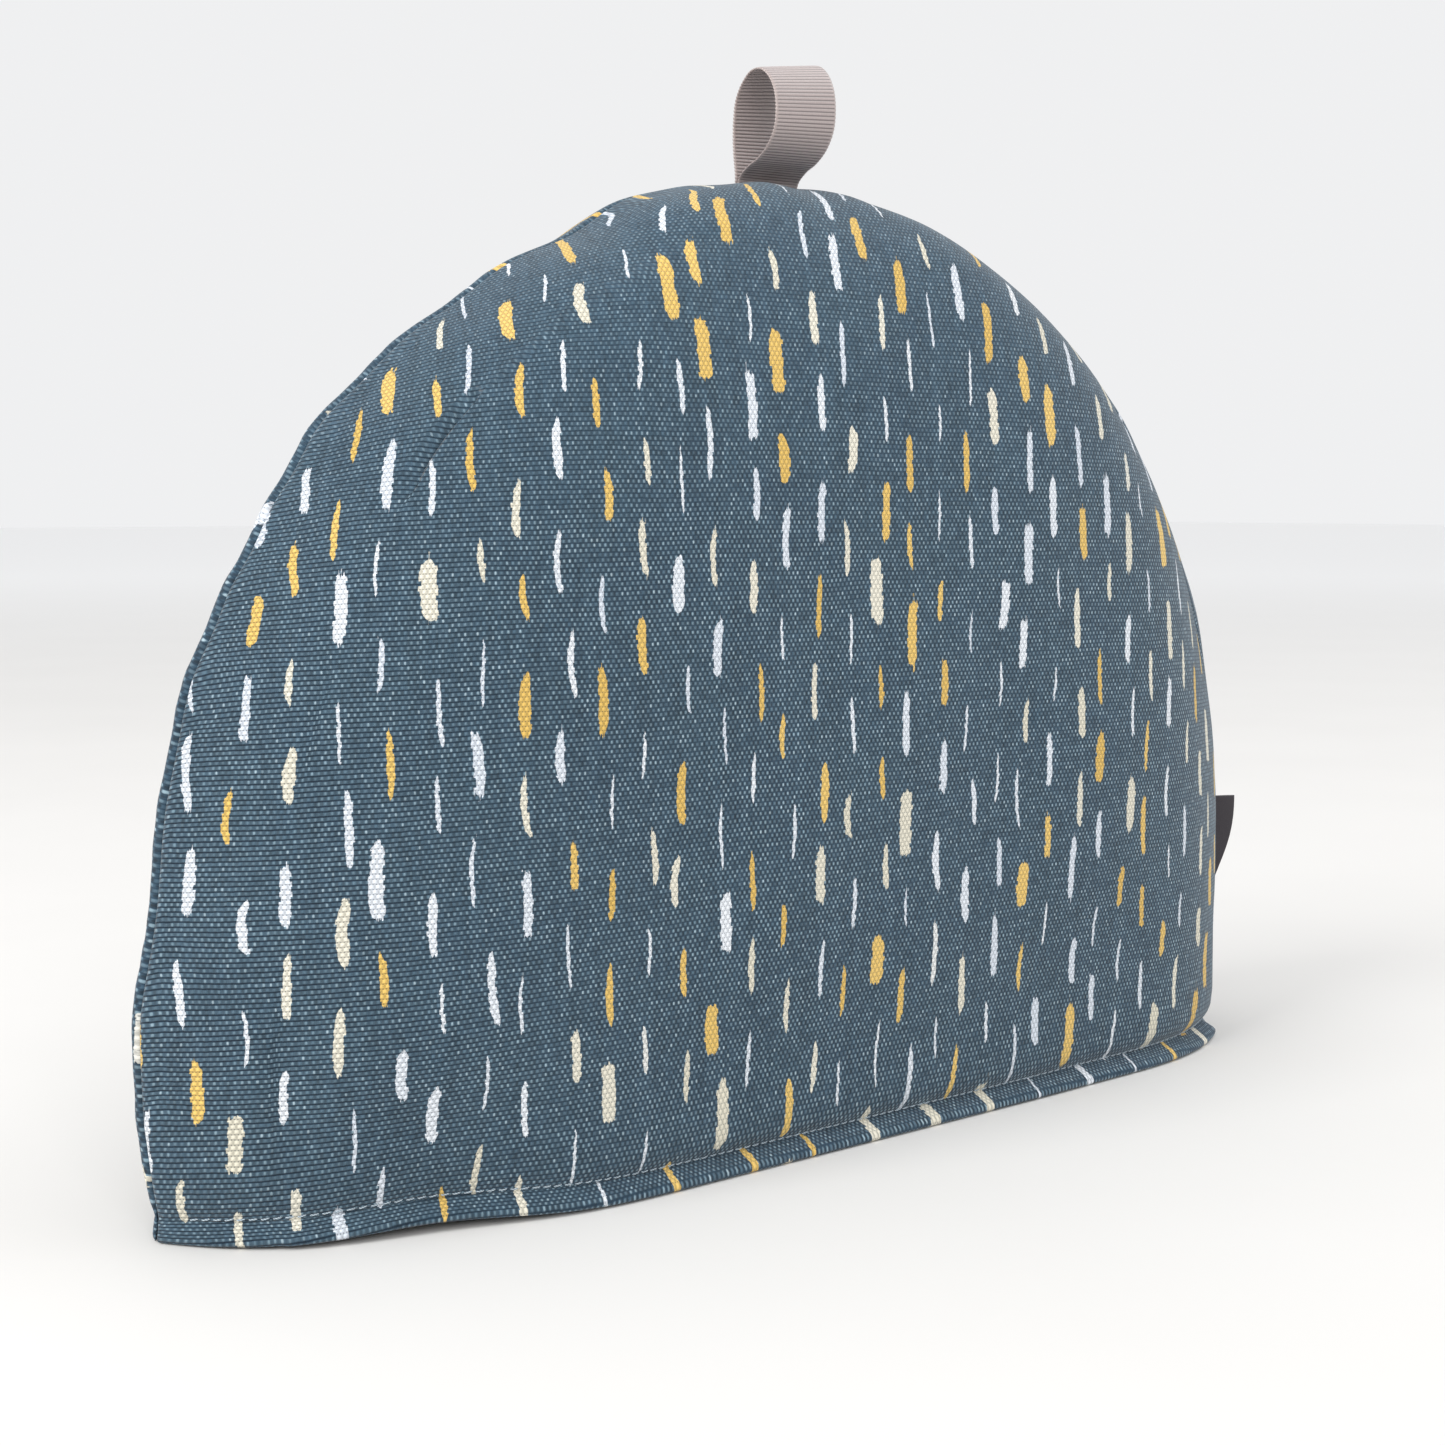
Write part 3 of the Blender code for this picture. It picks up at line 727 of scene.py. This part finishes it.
def ribbon_line():
    """The ribbon's middle line in the Y-Z plane and the length along it."""
    half_pitch = (RIBBON_SPACE + CLEARANCE) / 2
    top = HEIGHT
    run = [(half_pitch, top - RIBBON_SINK), (half_pitch, top - RIBBON_FOOT * RIBBON_SINK)]
    run += [(-forward, top + up) for forward, up in RIBBON_RUN]
    run += [(-half_pitch, top - RIBBON_FOOT * RIBBON_SINK), (-half_pitch, top - RIBBON_SINK)]
    run = np.array(run)
    at = np.concatenate([[0.0], np.cumsum(np.hypot(*np.diff(run, axis=0).T))])
    ribs = round(at[-1] / RIB_PITCH)
    places = np.linspace(0.0, at[-1], ribs * STEPS_A_RIB + 1)
    return smooth_through(at, run, places), places, ribs


def ribbon_cloth(name):
    """The ribbon as a thin closed strip with a rib for every weft cord, on both faces."""
    line, places, ribs = ribbon_line()
    along = np.gradient(line, axis=0)
    along /= np.linalg.norm(along, axis=1)[:, None]
    normal = np.stack([-along[:, 1], along[:, 0]], axis=1)
    turn = 2 * math.pi * ribs * places / places[-1]
    rib = np.abs(np.cos(turn / 2)) ** 1.3
    flat = np.linspace(-RIBBON_FLAT, RIBBON_FLAT, RIBBON_COLUMNS["flat"])
    side = np.linspace(RIBBON_FLAT, 1.0, RIBBON_COLUMNS["edge"])[1:]
    across = np.concatenate([-side[::-1], flat, side])
    inside = ease((1.0 - np.abs(across)) * RIBBON_WIDTH / 2 / SELVEDGE - 0.6)
    edge = np.sqrt(np.maximum(1.0 - np.abs(across) ** 40, 0.05))
    picot = PICOT * np.cos(turn)[:, None] * (np.abs(across) > 0.99)[None, :] * np.sign(across)
    tilt = RIBBON_TILT * np.maximum(line[:, 1] - HEIGHT, 0.0)
    x = RIBBON_AT + across[None, :] * RIBBON_WIDTH / 2 + picot
    half = RIBBON_THICK / 2 * edge[None, :] + RIB_HEIGHT * (rib - 0.5)[:, None] * inside[None, :]
    sheets = []
    for face in (1, -1):
        y = line[:, :1] + face * normal[:, :1] * half
        z = line[:, 1:] + face * normal[:, 1:] * half + tilt[:, None] * across[None, :]
        sheets.append(np.stack([x + CENTRE_X, y + CENTRE_Y, z], axis=2))
    loop = np.concatenate([sheets[0], sheets[1][:, ::-1]], axis=1)
    count = loop.shape[1]
    at = np.arange(loop.shape[0] * count).reshape(loop.shape[0], count)
    round_at = np.concatenate([at, at[:, :1]], axis=1)
    faces = grid_faces(round_at, False)
    for row, turned in ((at[0].tolist(), False), (at[-1].tolist(), True)):
        for i in range(count // 2 - 1):
            face = (row[i], row[i + 1], row[count - 2 - i], row[count - 1 - i])
            faces.append(face[::-1] if turned else face)
    u = np.concatenate([across, across[::-1]]) * RIBBON_WIDTH / 2
    u = np.broadcast_to(u, (loop.shape[0], count)).ravel()
    v = np.broadcast_to(places[:, None], (loop.shape[0], count)).ravel()
    return new_mesh(name, loop.reshape(-1, 3), faces, (u, v)), float(places[-1])


# The tab

def tab_root(z):
    """Where the seam's edge is, beside the tab."""
    _, x, height, length, _, _ = dense_seam()
    falling = slice(len(x) // 2, None)
    station = np.interp(z, height[falling][::-1], length[falling][::-1])
    return float(half_width(z)) + float(lumps(station / length[-1])) - EDGE_WALL / 2


def tab_cloth(name):
    """The tape, folded double: out from the seam, round its fold and back, open at the top."""
    points, first, second = [], [], []
    for i in range(TAB_ROWS + 1):
        up = i / TAB_ROWS
        z = TAB_BOTTOM + TAB_LENGTH * up
        reach = TAB_SINK + TAB_OUT["bottom"] * (1.0 - up) + TAB_OUT["top"] * up - TAB_FOLD
        gap = TAB_OPEN["bottom"] + (TAB_OPEN["top"] - TAB_OPEN["bottom"]) * up**2
        x, y, step = tab_root(z) - TAB_SINK, 0.0, reach / TAB_COLUMNS
        line, normals = [], []
        for j in range(TAB_COLUMNS + 1):
            line.append((x, y + float(twist(x, z))))
            angle = TAB_LEAN * float(ease(((j + 0.5) * step - TAB_SINK - TAB_STRAIGHT) / TAB_BEND))
            normals.append((math.sin(angle), math.cos(angle)))
            x, y = x + step * math.cos(angle), y - step * math.sin(angle)
        line, normals = np.array(line), np.array(normals)
        share = np.linspace(0.0, 1.0, TAB_COLUMNS + 1)
        past = np.clip((share * reach - TAB_SINK) / (reach - TAB_SINK), 0.0, 1.0)
        apart = TAB_TAPE / 2 + TAB_APART + gap / 2 * np.sin(math.pi * past) ** 0.8
        back, front = line + normals * apart[:, None], line - normals * apart[:, None]
        aside = normals[-1] * apart[-1]
        ahead = np.array([normals[-1][1], -normals[-1][0]]) * TAB_FOLD * TAB_FOLD_ROUND
        turns = np.linspace(0.0, math.pi, 9)[1:-1]
        fold = [line[-1] + aside * math.cos(turn) + ahead * math.sin(turn) for turn in turns]
        path = np.concatenate([back, fold, front[::-1]])
        length = np.concatenate([[0.0], np.cumsum(np.linalg.norm(np.diff(path, axis=0), axis=1))])
        for (at_x, at_y), run in zip(path, length):
            points.append((at_x + CENTRE_X, at_y + CENTRE_Y, z))
            first.append(run)
            second.append(z)
    grid = np.arange(len(points)).reshape(TAB_ROWS + 1, -1)
    obj = new_mesh(name, points, grid_faces(grid, True), (np.array(first), np.array(second)))
    solid = obj.modifiers.new("tape", "SOLIDIFY")
    solid.thickness = TAB_TAPE
    solid.offset = 0.0
    apply_modifiers(obj)
    return obj, float(max(first))


# Materials

def paint(colour):
    """An 8-bit colour as the light that Blender works in."""
    light = []
    for value in (level / 255 for level in colour):
        light.append(value / 12.92 if value < 0.04045 else ((value + 0.055) / 1.055) ** 2.4)
    return (*light, 1.0)


class Signal:
    """One number in a material's nodes. Sums of signals become Math nodes."""

    def __init__(self, graph, socket):
        self.graph = graph
        self.socket = socket

    def __add__(self, other):
        return self.graph.math("ADD", self, other)

    def __sub__(self, other):
        return self.graph.math("SUBTRACT", self, other)

    def __rsub__(self, other):
        return self.graph.math("SUBTRACT", other, self)

    def __mul__(self, other):
        return self.graph.math("MULTIPLY", self, other)

    def __truediv__(self, other):
        return self.graph.math("DIVIDE", self, other)

    __radd__ = __add__
    __rmul__ = __mul__


class Graph:
    """The nodes of one material."""

    def __init__(self, name):
        self.material = bpy.data.materials.new(name)
        self.material.use_nodes = True
        self.nodes = self.material.node_tree.nodes
        self.links = self.material.node_tree.links
        self.shader = self.nodes["Principled BSDF"]

    def join(self, value, socket):
        """Give a socket a signal or a plain value."""
        if isinstance(value, Signal):
            self.links.new(value.socket, socket)
        else:
            socket.default_value = value

    def math(self, operation, *values, clamp=False):
        node = self.nodes.new("ShaderNodeMath")
        node.operation = operation
        node.use_clamp = clamp
        for value, socket in zip(values, node.inputs):
            self.join(value, socket)
        return Signal(self, node.outputs[0])

    def ramp(self, value, low, high, start=0.0, end=1.0):
        """A smooth step from start, at low, to end, at high."""
        node = self.nodes.new("ShaderNodeMapRange")
        node.interpolation_type = "SMOOTHSTEP"
        for number, socket in zip((value, low, high, start, end), node.inputs):
            self.join(number, socket)
        return Signal(self, node.outputs[0])

    def vector(self, x, y, z):
        node = self.nodes.new("ShaderNodeCombineXYZ")
        for value, socket in zip((x, y, z), node.inputs):
            self.join(value, socket)
        return Signal(self, node.outputs[0])

    def parts(self, socket):
        """The three numbers of a vector."""
        node = self.nodes.new("ShaderNodeSeparateXYZ")
        self.links.new(socket, node.inputs[0])
        return [Signal(self, output) for output in node.outputs]

    def flat_place(self):
        """Where a point lies on the flat cloth, along the weft and the warp in millimetres."""
        node = self.nodes.new("ShaderNodeUVMap")
        node.uv_map = "cloth"
        u, v, _ = self.parts(node.outputs["UV"])
        return u * 1000.0, v * 1000.0

    def solid_place(self):
        """Where a point lies in the object, in metres."""
        return self.parts(self.nodes.new("ShaderNodeTexCoord").outputs["Object"])

    def noise(self, x, y, detail, z=0.0):
        node = self.nodes.new("ShaderNodeTexNoise")
        self.join(self.vector(x, y, z), node.inputs["Vector"])
        node.inputs["Scale"].default_value = 1.0
        node.inputs["Detail"].default_value = detail
        return Signal(self, node.outputs[0])

    def random(self, x, y, seed):
        """Three random numbers for each whole x and y."""
        node = self.nodes.new("ShaderNodeTexWhiteNoise")
        node.noise_dimensions = "3D"
        self.join(self.vector(x, y, seed), node.inputs["Vector"])
        split = self.nodes.new("ShaderNodeSeparateColor")
        self.links.new(node.outputs["Color"], split.inputs[0])
        return [Signal(self, output) for output in split.outputs]

    def wander(self, u, v, waves):
        """How far threads stray from their straight lines."""
        total = 0.0
        for wave in waves:
            noise = self.noise(u / wave["weft"], v / wave["warp"], 1.0, wave["seed"])
            total = total + wave["by"] * noise
        return total

    def mix(self, share, first, second, blend="MIX"):
        node = self.nodes.new("ShaderNodeMix")
        node.data_type = "RGBA"
        node.blend_type = blend
        self.join(share, node.inputs[0])
        self.join(first, node.inputs[6])
        self.join(second, node.inputs[7])
        return Signal(self, node.outputs[2])

    def tones(self, share, pair):
        """A colour between the two of a pair."""
        first, second = pair
        return self.mix(share, paint(first), paint(second))

    def shaded(self, colour, level):
        """The colour times a level of grey."""
        return self.mix(1.0, colour, self.vector(level, level, level), "MULTIPLY")

    def bump(self, height, distance, strength):
        """Bump from a height of 0 to 1, over a distance in metres."""
        node = self.nodes.new("ShaderNodeBump")
        node.inputs["Strength"].default_value = strength
        node.inputs["Distance"].default_value = distance
        self.join(height, node.inputs["Height"])
        self.links.new(node.outputs[0], self.shader.inputs["Normal"])

    def finish(self, colour, roughness, sheen=0.0, sheen_roughness=0.5, specular=0.3):
        self.join(colour, self.shader.inputs["Base Color"])
        self.join(roughness, self.shader.inputs["Roughness"])
        self.shader.inputs["Sheen Weight"].default_value = sheen
        self.shader.inputs["Sheen Roughness"].default_value = sheen_roughness
        self.shader.inputs["Specular IOR Level"].default_value = specular
        return self.material


def woven(graph, u, v):
    """Plain weave, with a weft coarser than its warp. Gives the height of the threads, which
    thread is on top (1 in the middle of a weft bead, -1 of a warp bead), how far into the
    groove between two weft threads a place is, and random numbers for crossings and threads."""
    u = u + graph.wander(u, v, WEFT_WANDER)
    v = v + graph.wander(u, v, WARP_WANDER)
    row = graph.math("FLOOR", v / WEFT_PITCH)
    column = graph.math("FLOOR", u / WARP_PITCH)
    over = graph.math("ABSOLUTE", graph.math("MODULO", row + column, 2.0)) * 2.0 - 1.0
    in_row = v / WEFT_PITCH - row - 0.5
    in_column = u / WARP_PITCH - column - 0.5
    up_row = graph.math("COSINE", in_row * math.pi)
    up_column = graph.math("COSINE", in_column * math.pi)
    thread = graph.noise(u / 9.0, row * 3.7, 2.0)
    weft = up_row * (0.52 + 0.50 * over * up_column) + 0.30 * (thread - 0.5)
    warp = up_column * (0.44 - 0.44 * over * up_row)
    height = graph.math("SMOOTH_MAX", weft, warp, 0.10)
    crossing = over * (up_row * up_column)
    groove = graph.ramp(up_row, 0.10, 0.80, 1.0, 0.0)
    slub = graph.noise(column * 3.3, v / 8.0, 2.0, 2.0)
    return height, crossing, groove, graph.random(row, column, 1.0), (thread, slub)


def brushed_dashes(graph, u, v, height):
    """One dash in each cell of a staggered grid. Gives how much ink lies at a place and
    two numbers that choose its colour."""
    column = graph.math("FLOOR", u / CELL_WIDE)
    drift, _, _ = graph.random(column, 5.0, 11.0)
    odd = graph.math("ABSOLUTE", graph.math("MODULO", column, 2.0))
    raised = v / CELL_TALL + drift * CELL_DRIFT + CELL_STAGGER * odd
    row = graph.math("FLOOR", raised)
    kind, wide, tall = graph.random(column, row, 23.0)
    aside, above, bow = graph.random(column, row, 37.0)
    blunt, lean, tone = graph.random(column, row, 53.0)
    plain = graph.ramp(kind, WHITE_TO - 0.01, WHITE_TO + 0.01)

    # From the dash's middle: x across it, and t along it, 1 or -1 at its ends
    x = (u / CELL_WIDE - column - 0.5) * CELL_WIDE - (aside - 0.5) * DASH_ASIDE
    y = (raised - row - 0.5) * CELL_TALL - (above - 0.5) * DASH_ABOVE
    t = y / (DASH_HALF["least"] + DASH_HALF["tall"] * tall + DASH_HALF["wide"] * wide)
    square = t * t
    x = x - (bow - 0.62) * DASH_BOW * (1.0 - square) - (lean - 0.5) * DASH_LEAN * t

    # Its half width there, with ends that are ragged by single warp threads
    size = DASH_WIDTH["least"] + DASH_WIDTH["plain"] * plain
    size = size + DASH_WIDTH["wide"] * graph.math("POWER", wide, 2.4)
    end = 2.0 + 5.5 * graph.math("POWER", blunt, 1.5) + 2.5 * wide
    strand, _, _ = graph.random(graph.math("FLOOR", u / WARP_PITCH), column + 7.0 * row, 91.0)
    reach = graph.math("ABSOLUTE", t + 0.10 * (1.0 - square))
    reach = reach + DASH_FRAY["column"] * (strand - 0.5) * square
    left = graph.math("MAXIMUM", 1.0 - graph.math("POWER", reach, end), 0.0)
    shape = size * graph.math("POWER", left, 0.62)

    # The ink: stepped from one weft thread to the next, and dry in strands near the ends
    frayed = graph.noise(u * 1.9, v * 1.3, 2.0) - 0.5
    stepped, thick, _ = graph.random(graph.math("FLOOR", v / WEFT_PITCH), column, 71.0)
    off_line = x + DASH_FRAY["noise"] * frayed + DASH_FRAY["row"] * (stepped - 0.5)
    depth = shape * (0.84 + 0.32 * thick) - graph.math("ABSOLUTE", off_line) - 0.06
    ink = graph.ramp(depth, INK_SOFT["from"], INK_SOFT["to"])
    strands = graph.noise(u * 3.6, v * 0.30, 1.0, 4.0)
    near_end = graph.ramp(graph.math("ABSOLUTE", t), 0.60, 1.05, -0.5, 0.62)
    ink = ink * graph.ramp(strands - near_end, -0.05, 0.05)
    ink = ink * graph.ramp(height, 0.05, 0.34, 0.30, 1.0)
    return ink, kind, tone


def printed_cotton(name):
    """Slate blue cotton with brushed dashes in white, cream and mustard."""
    graph = Graph(name)
    u, v = graph.flat_place()
    height, crossing, groove, (fleck, shade, tint), (thread, slub) = woven(graph, u, v)
    shaded_rows = graph.ramp(u, SHADED_ROWS["from"], SHADED_ROWS["to"], 1.0, SHADED_ROWS["least"])
    fine = graph.ramp(v, FINE["from"], FINE["to"])
    depth = DEPTH_OF_WEAVE["plain"] - DEPTH_OF_WEAVE["shaded_rows"] * shaded_rows - DEPTH_OF_WEAVE["fine"] * fine

    # The cloth, with painted shade and painted highlights that stand in for light on its weave
    ground = graph.tones(graph.noise(u / 23.0, v / 31.0, 2.0), SLATE)
    lit = graph.tones(tint, SLATE_LIT)
    pit_shade = graph.tones(shade, SLATE_PIT_SHADE)
    # Painted shade in the pits between the threads
    base = graph.mix(graph.ramp(crossing, -0.85, 0.0, 1.0, 0.0) * depth, ground, pit_shade)
    # Beads of lighter weft thread, with a painted highlight on them
    bead = graph.ramp(crossing, 0.05, 0.85)
    base = graph.mix(bead * (0.12 + 1.04 * fleck) * depth, base, lit)
    # Towards the weft's low end, weft rows painted lit on top and painted shade in their grooves
    base = graph.mix(shaded_rows * 0.13 * (1.0 - groove), base, lit)
    base = graph.mix(shaded_rows * 0.85 * groove, base, pit_shade)
    # A painted glint on the tops of the brightest beads
    glint = graph.ramp(fleck, 0.90, 1.0) * graph.ramp(crossing, 0.3, 0.9) * depth
    base = graph.mix(glint * 0.6, base, paint(SLATE_GLINT))

    # Threads and streaks that took the dye unevenly
    streak = graph.noise(u / 2.4, v / 70.0, 2.0, 5.0)
    level = 0.93 + 0.20 * (shade - 0.5) + 0.42 * (streak - 0.5) + 0.46 * (thread - 0.5)
    base = graph.shaded(base, level + (0.36 + 0.4 * fine) * (slub - 0.5))

    # The print, shaded by the weave under it
    ink, kind, tone = brushed_dashes(graph, u, v, height)
    white, cream = graph.tones(tone, WHITE_INK), graph.tones(tone, CREAM_INK)
    colour = graph.mix(graph.ramp(kind, WHITE_TO - 0.005, WHITE_TO + 0.005), white, cream)
    is_mustard = graph.ramp(kind, CREAM_TO - 0.005, CREAM_TO + 0.005)
    colour = graph.mix(is_mustard, colour, graph.tones(tone, MUSTARD_INK))
    shadow = graph.ramp(crossing, -0.95, 0.30, 0.60, 1.04) * (1.0 - 0.34 * shaded_rows * groove)
    colour = graph.mix(ink, base, graph.shaded(colour, shadow))

    relief = 0.30 * height + 0.45 * crossing - 0.35 * shaded_rows * groove + 0.20 * fleck
    graph.bump(relief, WEAVE_RELIEF, WEAVE_STRENGTH)
    return graph.finish(colour, 0.92, sheen=0.22, sheen_roughness=0.45, specular=0.2)


def plain_cotton(name):
    """The inside of the cosy, plain and unprinted."""
    graph = Graph(name)
    u, v = graph.flat_place()
    height, crossing, _, (fleck, shade, _), (thread, _) = woven(graph, u, v)
    # Darker low between the threads and lighter on their tops: painted shade and painted highlight
    base = graph.tones(graph.ramp(height, 0.1, 0.9), PLAIN_BLUE)
    base = graph.shaded(base, 0.80 + 0.16 * shade + 0.12 * thread + 0.10 * crossing)
    graph.bump(height + 0.2 * fleck, WEAVE_RELIEF, WEAVE_STRENGTH)
    return graph.finish(base, 0.94, sheen=0.18, specular=0.2)


def sewing_thread(name):
    """Pale blue-grey cotton thread, with the twist of its plies."""
    graph = Graph(name)
    x, _, z = graph.solid_place()
    ply = graph.math("COSINE", (x * 1300.0 + z * 2400.0) * (2 * math.pi))
    fibre = graph.noise(x * 2600.0, z * 5200.0, 2.0)
    # Painted shade in the grooves of the ply twist, and random tone from the fibres
    base = graph.tones(graph.ramp(ply + fibre, -0.8, 1.6), THREAD_BLUE)
    graph.bump(ply * 0.5 + fibre, 0.00006, 0.8)
    return graph.finish(base, 0.7, sheen=0.2, specular=0.35)


def grosgrain(name):
    """Mauve-grey grosgrain: cords across, fine warp threads over them and a plain selvedge."""
    graph = Graph(name)
    u, v = graph.flat_place()
    rib = graph.math("ABSOLUTE", graph.math("COSINE", v / (RIB_PITCH * 1000.0) * math.pi))
    warp = graph.math("COSINE", u / 0.21 * (2 * math.pi))
    grain = graph.noise(u * 5.0, v * 0.6, 2.0)
    inside = RIBBON_WIDTH * 500.0 - graph.math("ABSOLUTE", u)
    selvedge = graph.ramp(inside, 0.5, 0.9, 1.0, 0.0)
    # Painted shade in the grooves between the cords; the cords are the ribbon's mauve-grey with a
    # painted sheen on their crests
    groove, cord = graph.tones(grain, RIBBON_GROOVE_SHADE), graph.tones(grain, RIBBON_CORD)
    base = graph.mix(graph.ramp(rib, 0.15, 0.9), groove, cord)
    base = graph.mix(selvedge * 0.6, base, paint(RIBBON_SELVEDGE))
    graph.bump(0.5 * rib + 0.10 * warp + 0.3 * grain, 0.00010, 0.6)
    roughness = graph.ramp(grain, 0.2, 0.8, 0.30, 0.44)
    return graph.finish(base, roughness, sheen=0.2, specular=1.0)


def woven_tape(name):
    """Plain dark charcoal tape with a fine satin rib."""
    graph = Graph(name)
    u, v = graph.flat_place()
    rib = graph.math("COSINE", v / 0.30 * (2 * math.pi))
    warp = graph.math("COSINE", u / 0.22 * (2 * math.pi))
    grain = graph.noise(u * 3.0, v * 8.0, 2.0)
    # Random tone from the grain, and a faint painted shade in the grooves of the satin rib
    base = graph.tones(graph.ramp(grain + 0.15 * rib, 0.2, 0.9), CHARCOAL)
    graph.bump(0.5 * rib + 0.25 * warp + grain, 0.00007, 0.6)
    return graph.finish(base, 0.68, sheen=0.2, specular=0.35)


def pale_floor(name):
    """A pale, matt floor that turns to white far from the cosy."""
    graph = Graph(name)
    x, y, _ = graph.solid_place()
    far = graph.math("POWER", x * x + y * y, 0.5)
    near = graph.mix(graph.noise(x * 6.0, y * 6.0, 3.0), *FLOOR_NEAR)
    base = graph.mix(graph.ramp(far, FLOOR_FADE["from"], FLOOR_FADE["to"]), near, FLOOR_FAR)
    return graph.finish(base, 0.8, specular=0.2)


# The scene

def make_camera():
    """The photograph's camera."""
    data = bpy.data.cameras.new("camera")
    data.sensor_width = SENSOR
    data.lens = FOCAL_PIXELS * SENSOR / PIXELS
    data.clip_start = 0.01
    data.clip_end = 60.0
    camera = bpy.data.objects.new("camera", data)
    camera.location = CAMERA_AT
    camera.rotation_euler = (math.pi / 2 - CAMERA_PITCH, 0.0, -CAMERA_YAW)
    bpy.context.scene.collection.objects.link(camera)
    bpy.context.scene.camera = camera


def make_light(name, light):
    """A square area light, turned to the middle of the cosy."""
    data = bpy.data.lights.new(name, "AREA")
    data.shape = "RECTANGLE"
    data.size = data.size_y = light["size"]
    data.energy = light["power"]
    data.color = light["colour"]
    obj = bpy.data.objects.new(name, data)
    obj.location = light["at"]
    obj.rotation_euler = (Vector(LIT_AT) - Vector(light["at"])).to_track_quat("-Z", "Y").to_euler()
    bpy.context.scene.collection.objects.link(obj)


def make_surroundings():
    """The daylight and the floor."""
    world = bpy.data.worlds.new("daylight")
    world.use_nodes = True
    sky = world.node_tree.nodes["Background"]
    sky.inputs["Color"].default_value = SKY["colour"]
    sky.inputs["Strength"].default_value = SKY["strength"]
    bpy.context.scene.world = world
    bpy.context.scene.view_settings.view_transform = "Standard"
    make_light("window", WINDOW)
    make_light("side", SIDE)
    make_light("room", ROOM)
    mesh = bpy.data.meshes.new("floor")
    half = FLOOR_HALF
    corners = [(-half, -half, 0), (half, -half, 0), (half, half, 0), (-half, half, 0)]
    mesh.from_pydata(corners, [], [(0, 1, 2, 3)])
    mesh.materials.append(pale_floor("pale_floor"))
    floor = bpy.data.objects.new("floor", mesh)
    floor.location.z = -FLOOR_DROP
    bpy.context.scene.collection.objects.link(floor)


def declare(obj, node, material):
    """Give a piece its material and its body, and hide the CAD node that it stands for."""
    obj.data.materials.append(material)
    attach(obj, "root")
    if node:
        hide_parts(node)


make_camera()
make_surroundings()

printed, plain = printed_cotton("printed_cotton"), plain_cotton("plain_cotton")
thread_look = sewing_thread("sewing_thread")
for side, facing in (("front", -1), ("back", 1)):
    cloth = panel_cloth(side + "_cloth", facing, FLAT_SHIFT[side])
    declare(cloth, side + "_panel", printed)
    cloth.data.materials.append(plain)
    apply_modifiers(cloth)
    stitches = hem_stitches(side + "_hem_stitches", cloth, facing)
    declare(stitches, None, thread_look)

ribbon, ribbon_length = ribbon_cloth("ribbon_cloth")
declare(ribbon, "ribbon_loop", grosgrain("grosgrain"))

tab, tab_length = tab_cloth("tab_cloth")
declare(tab, "side_label", woven_tape("woven_tape"))
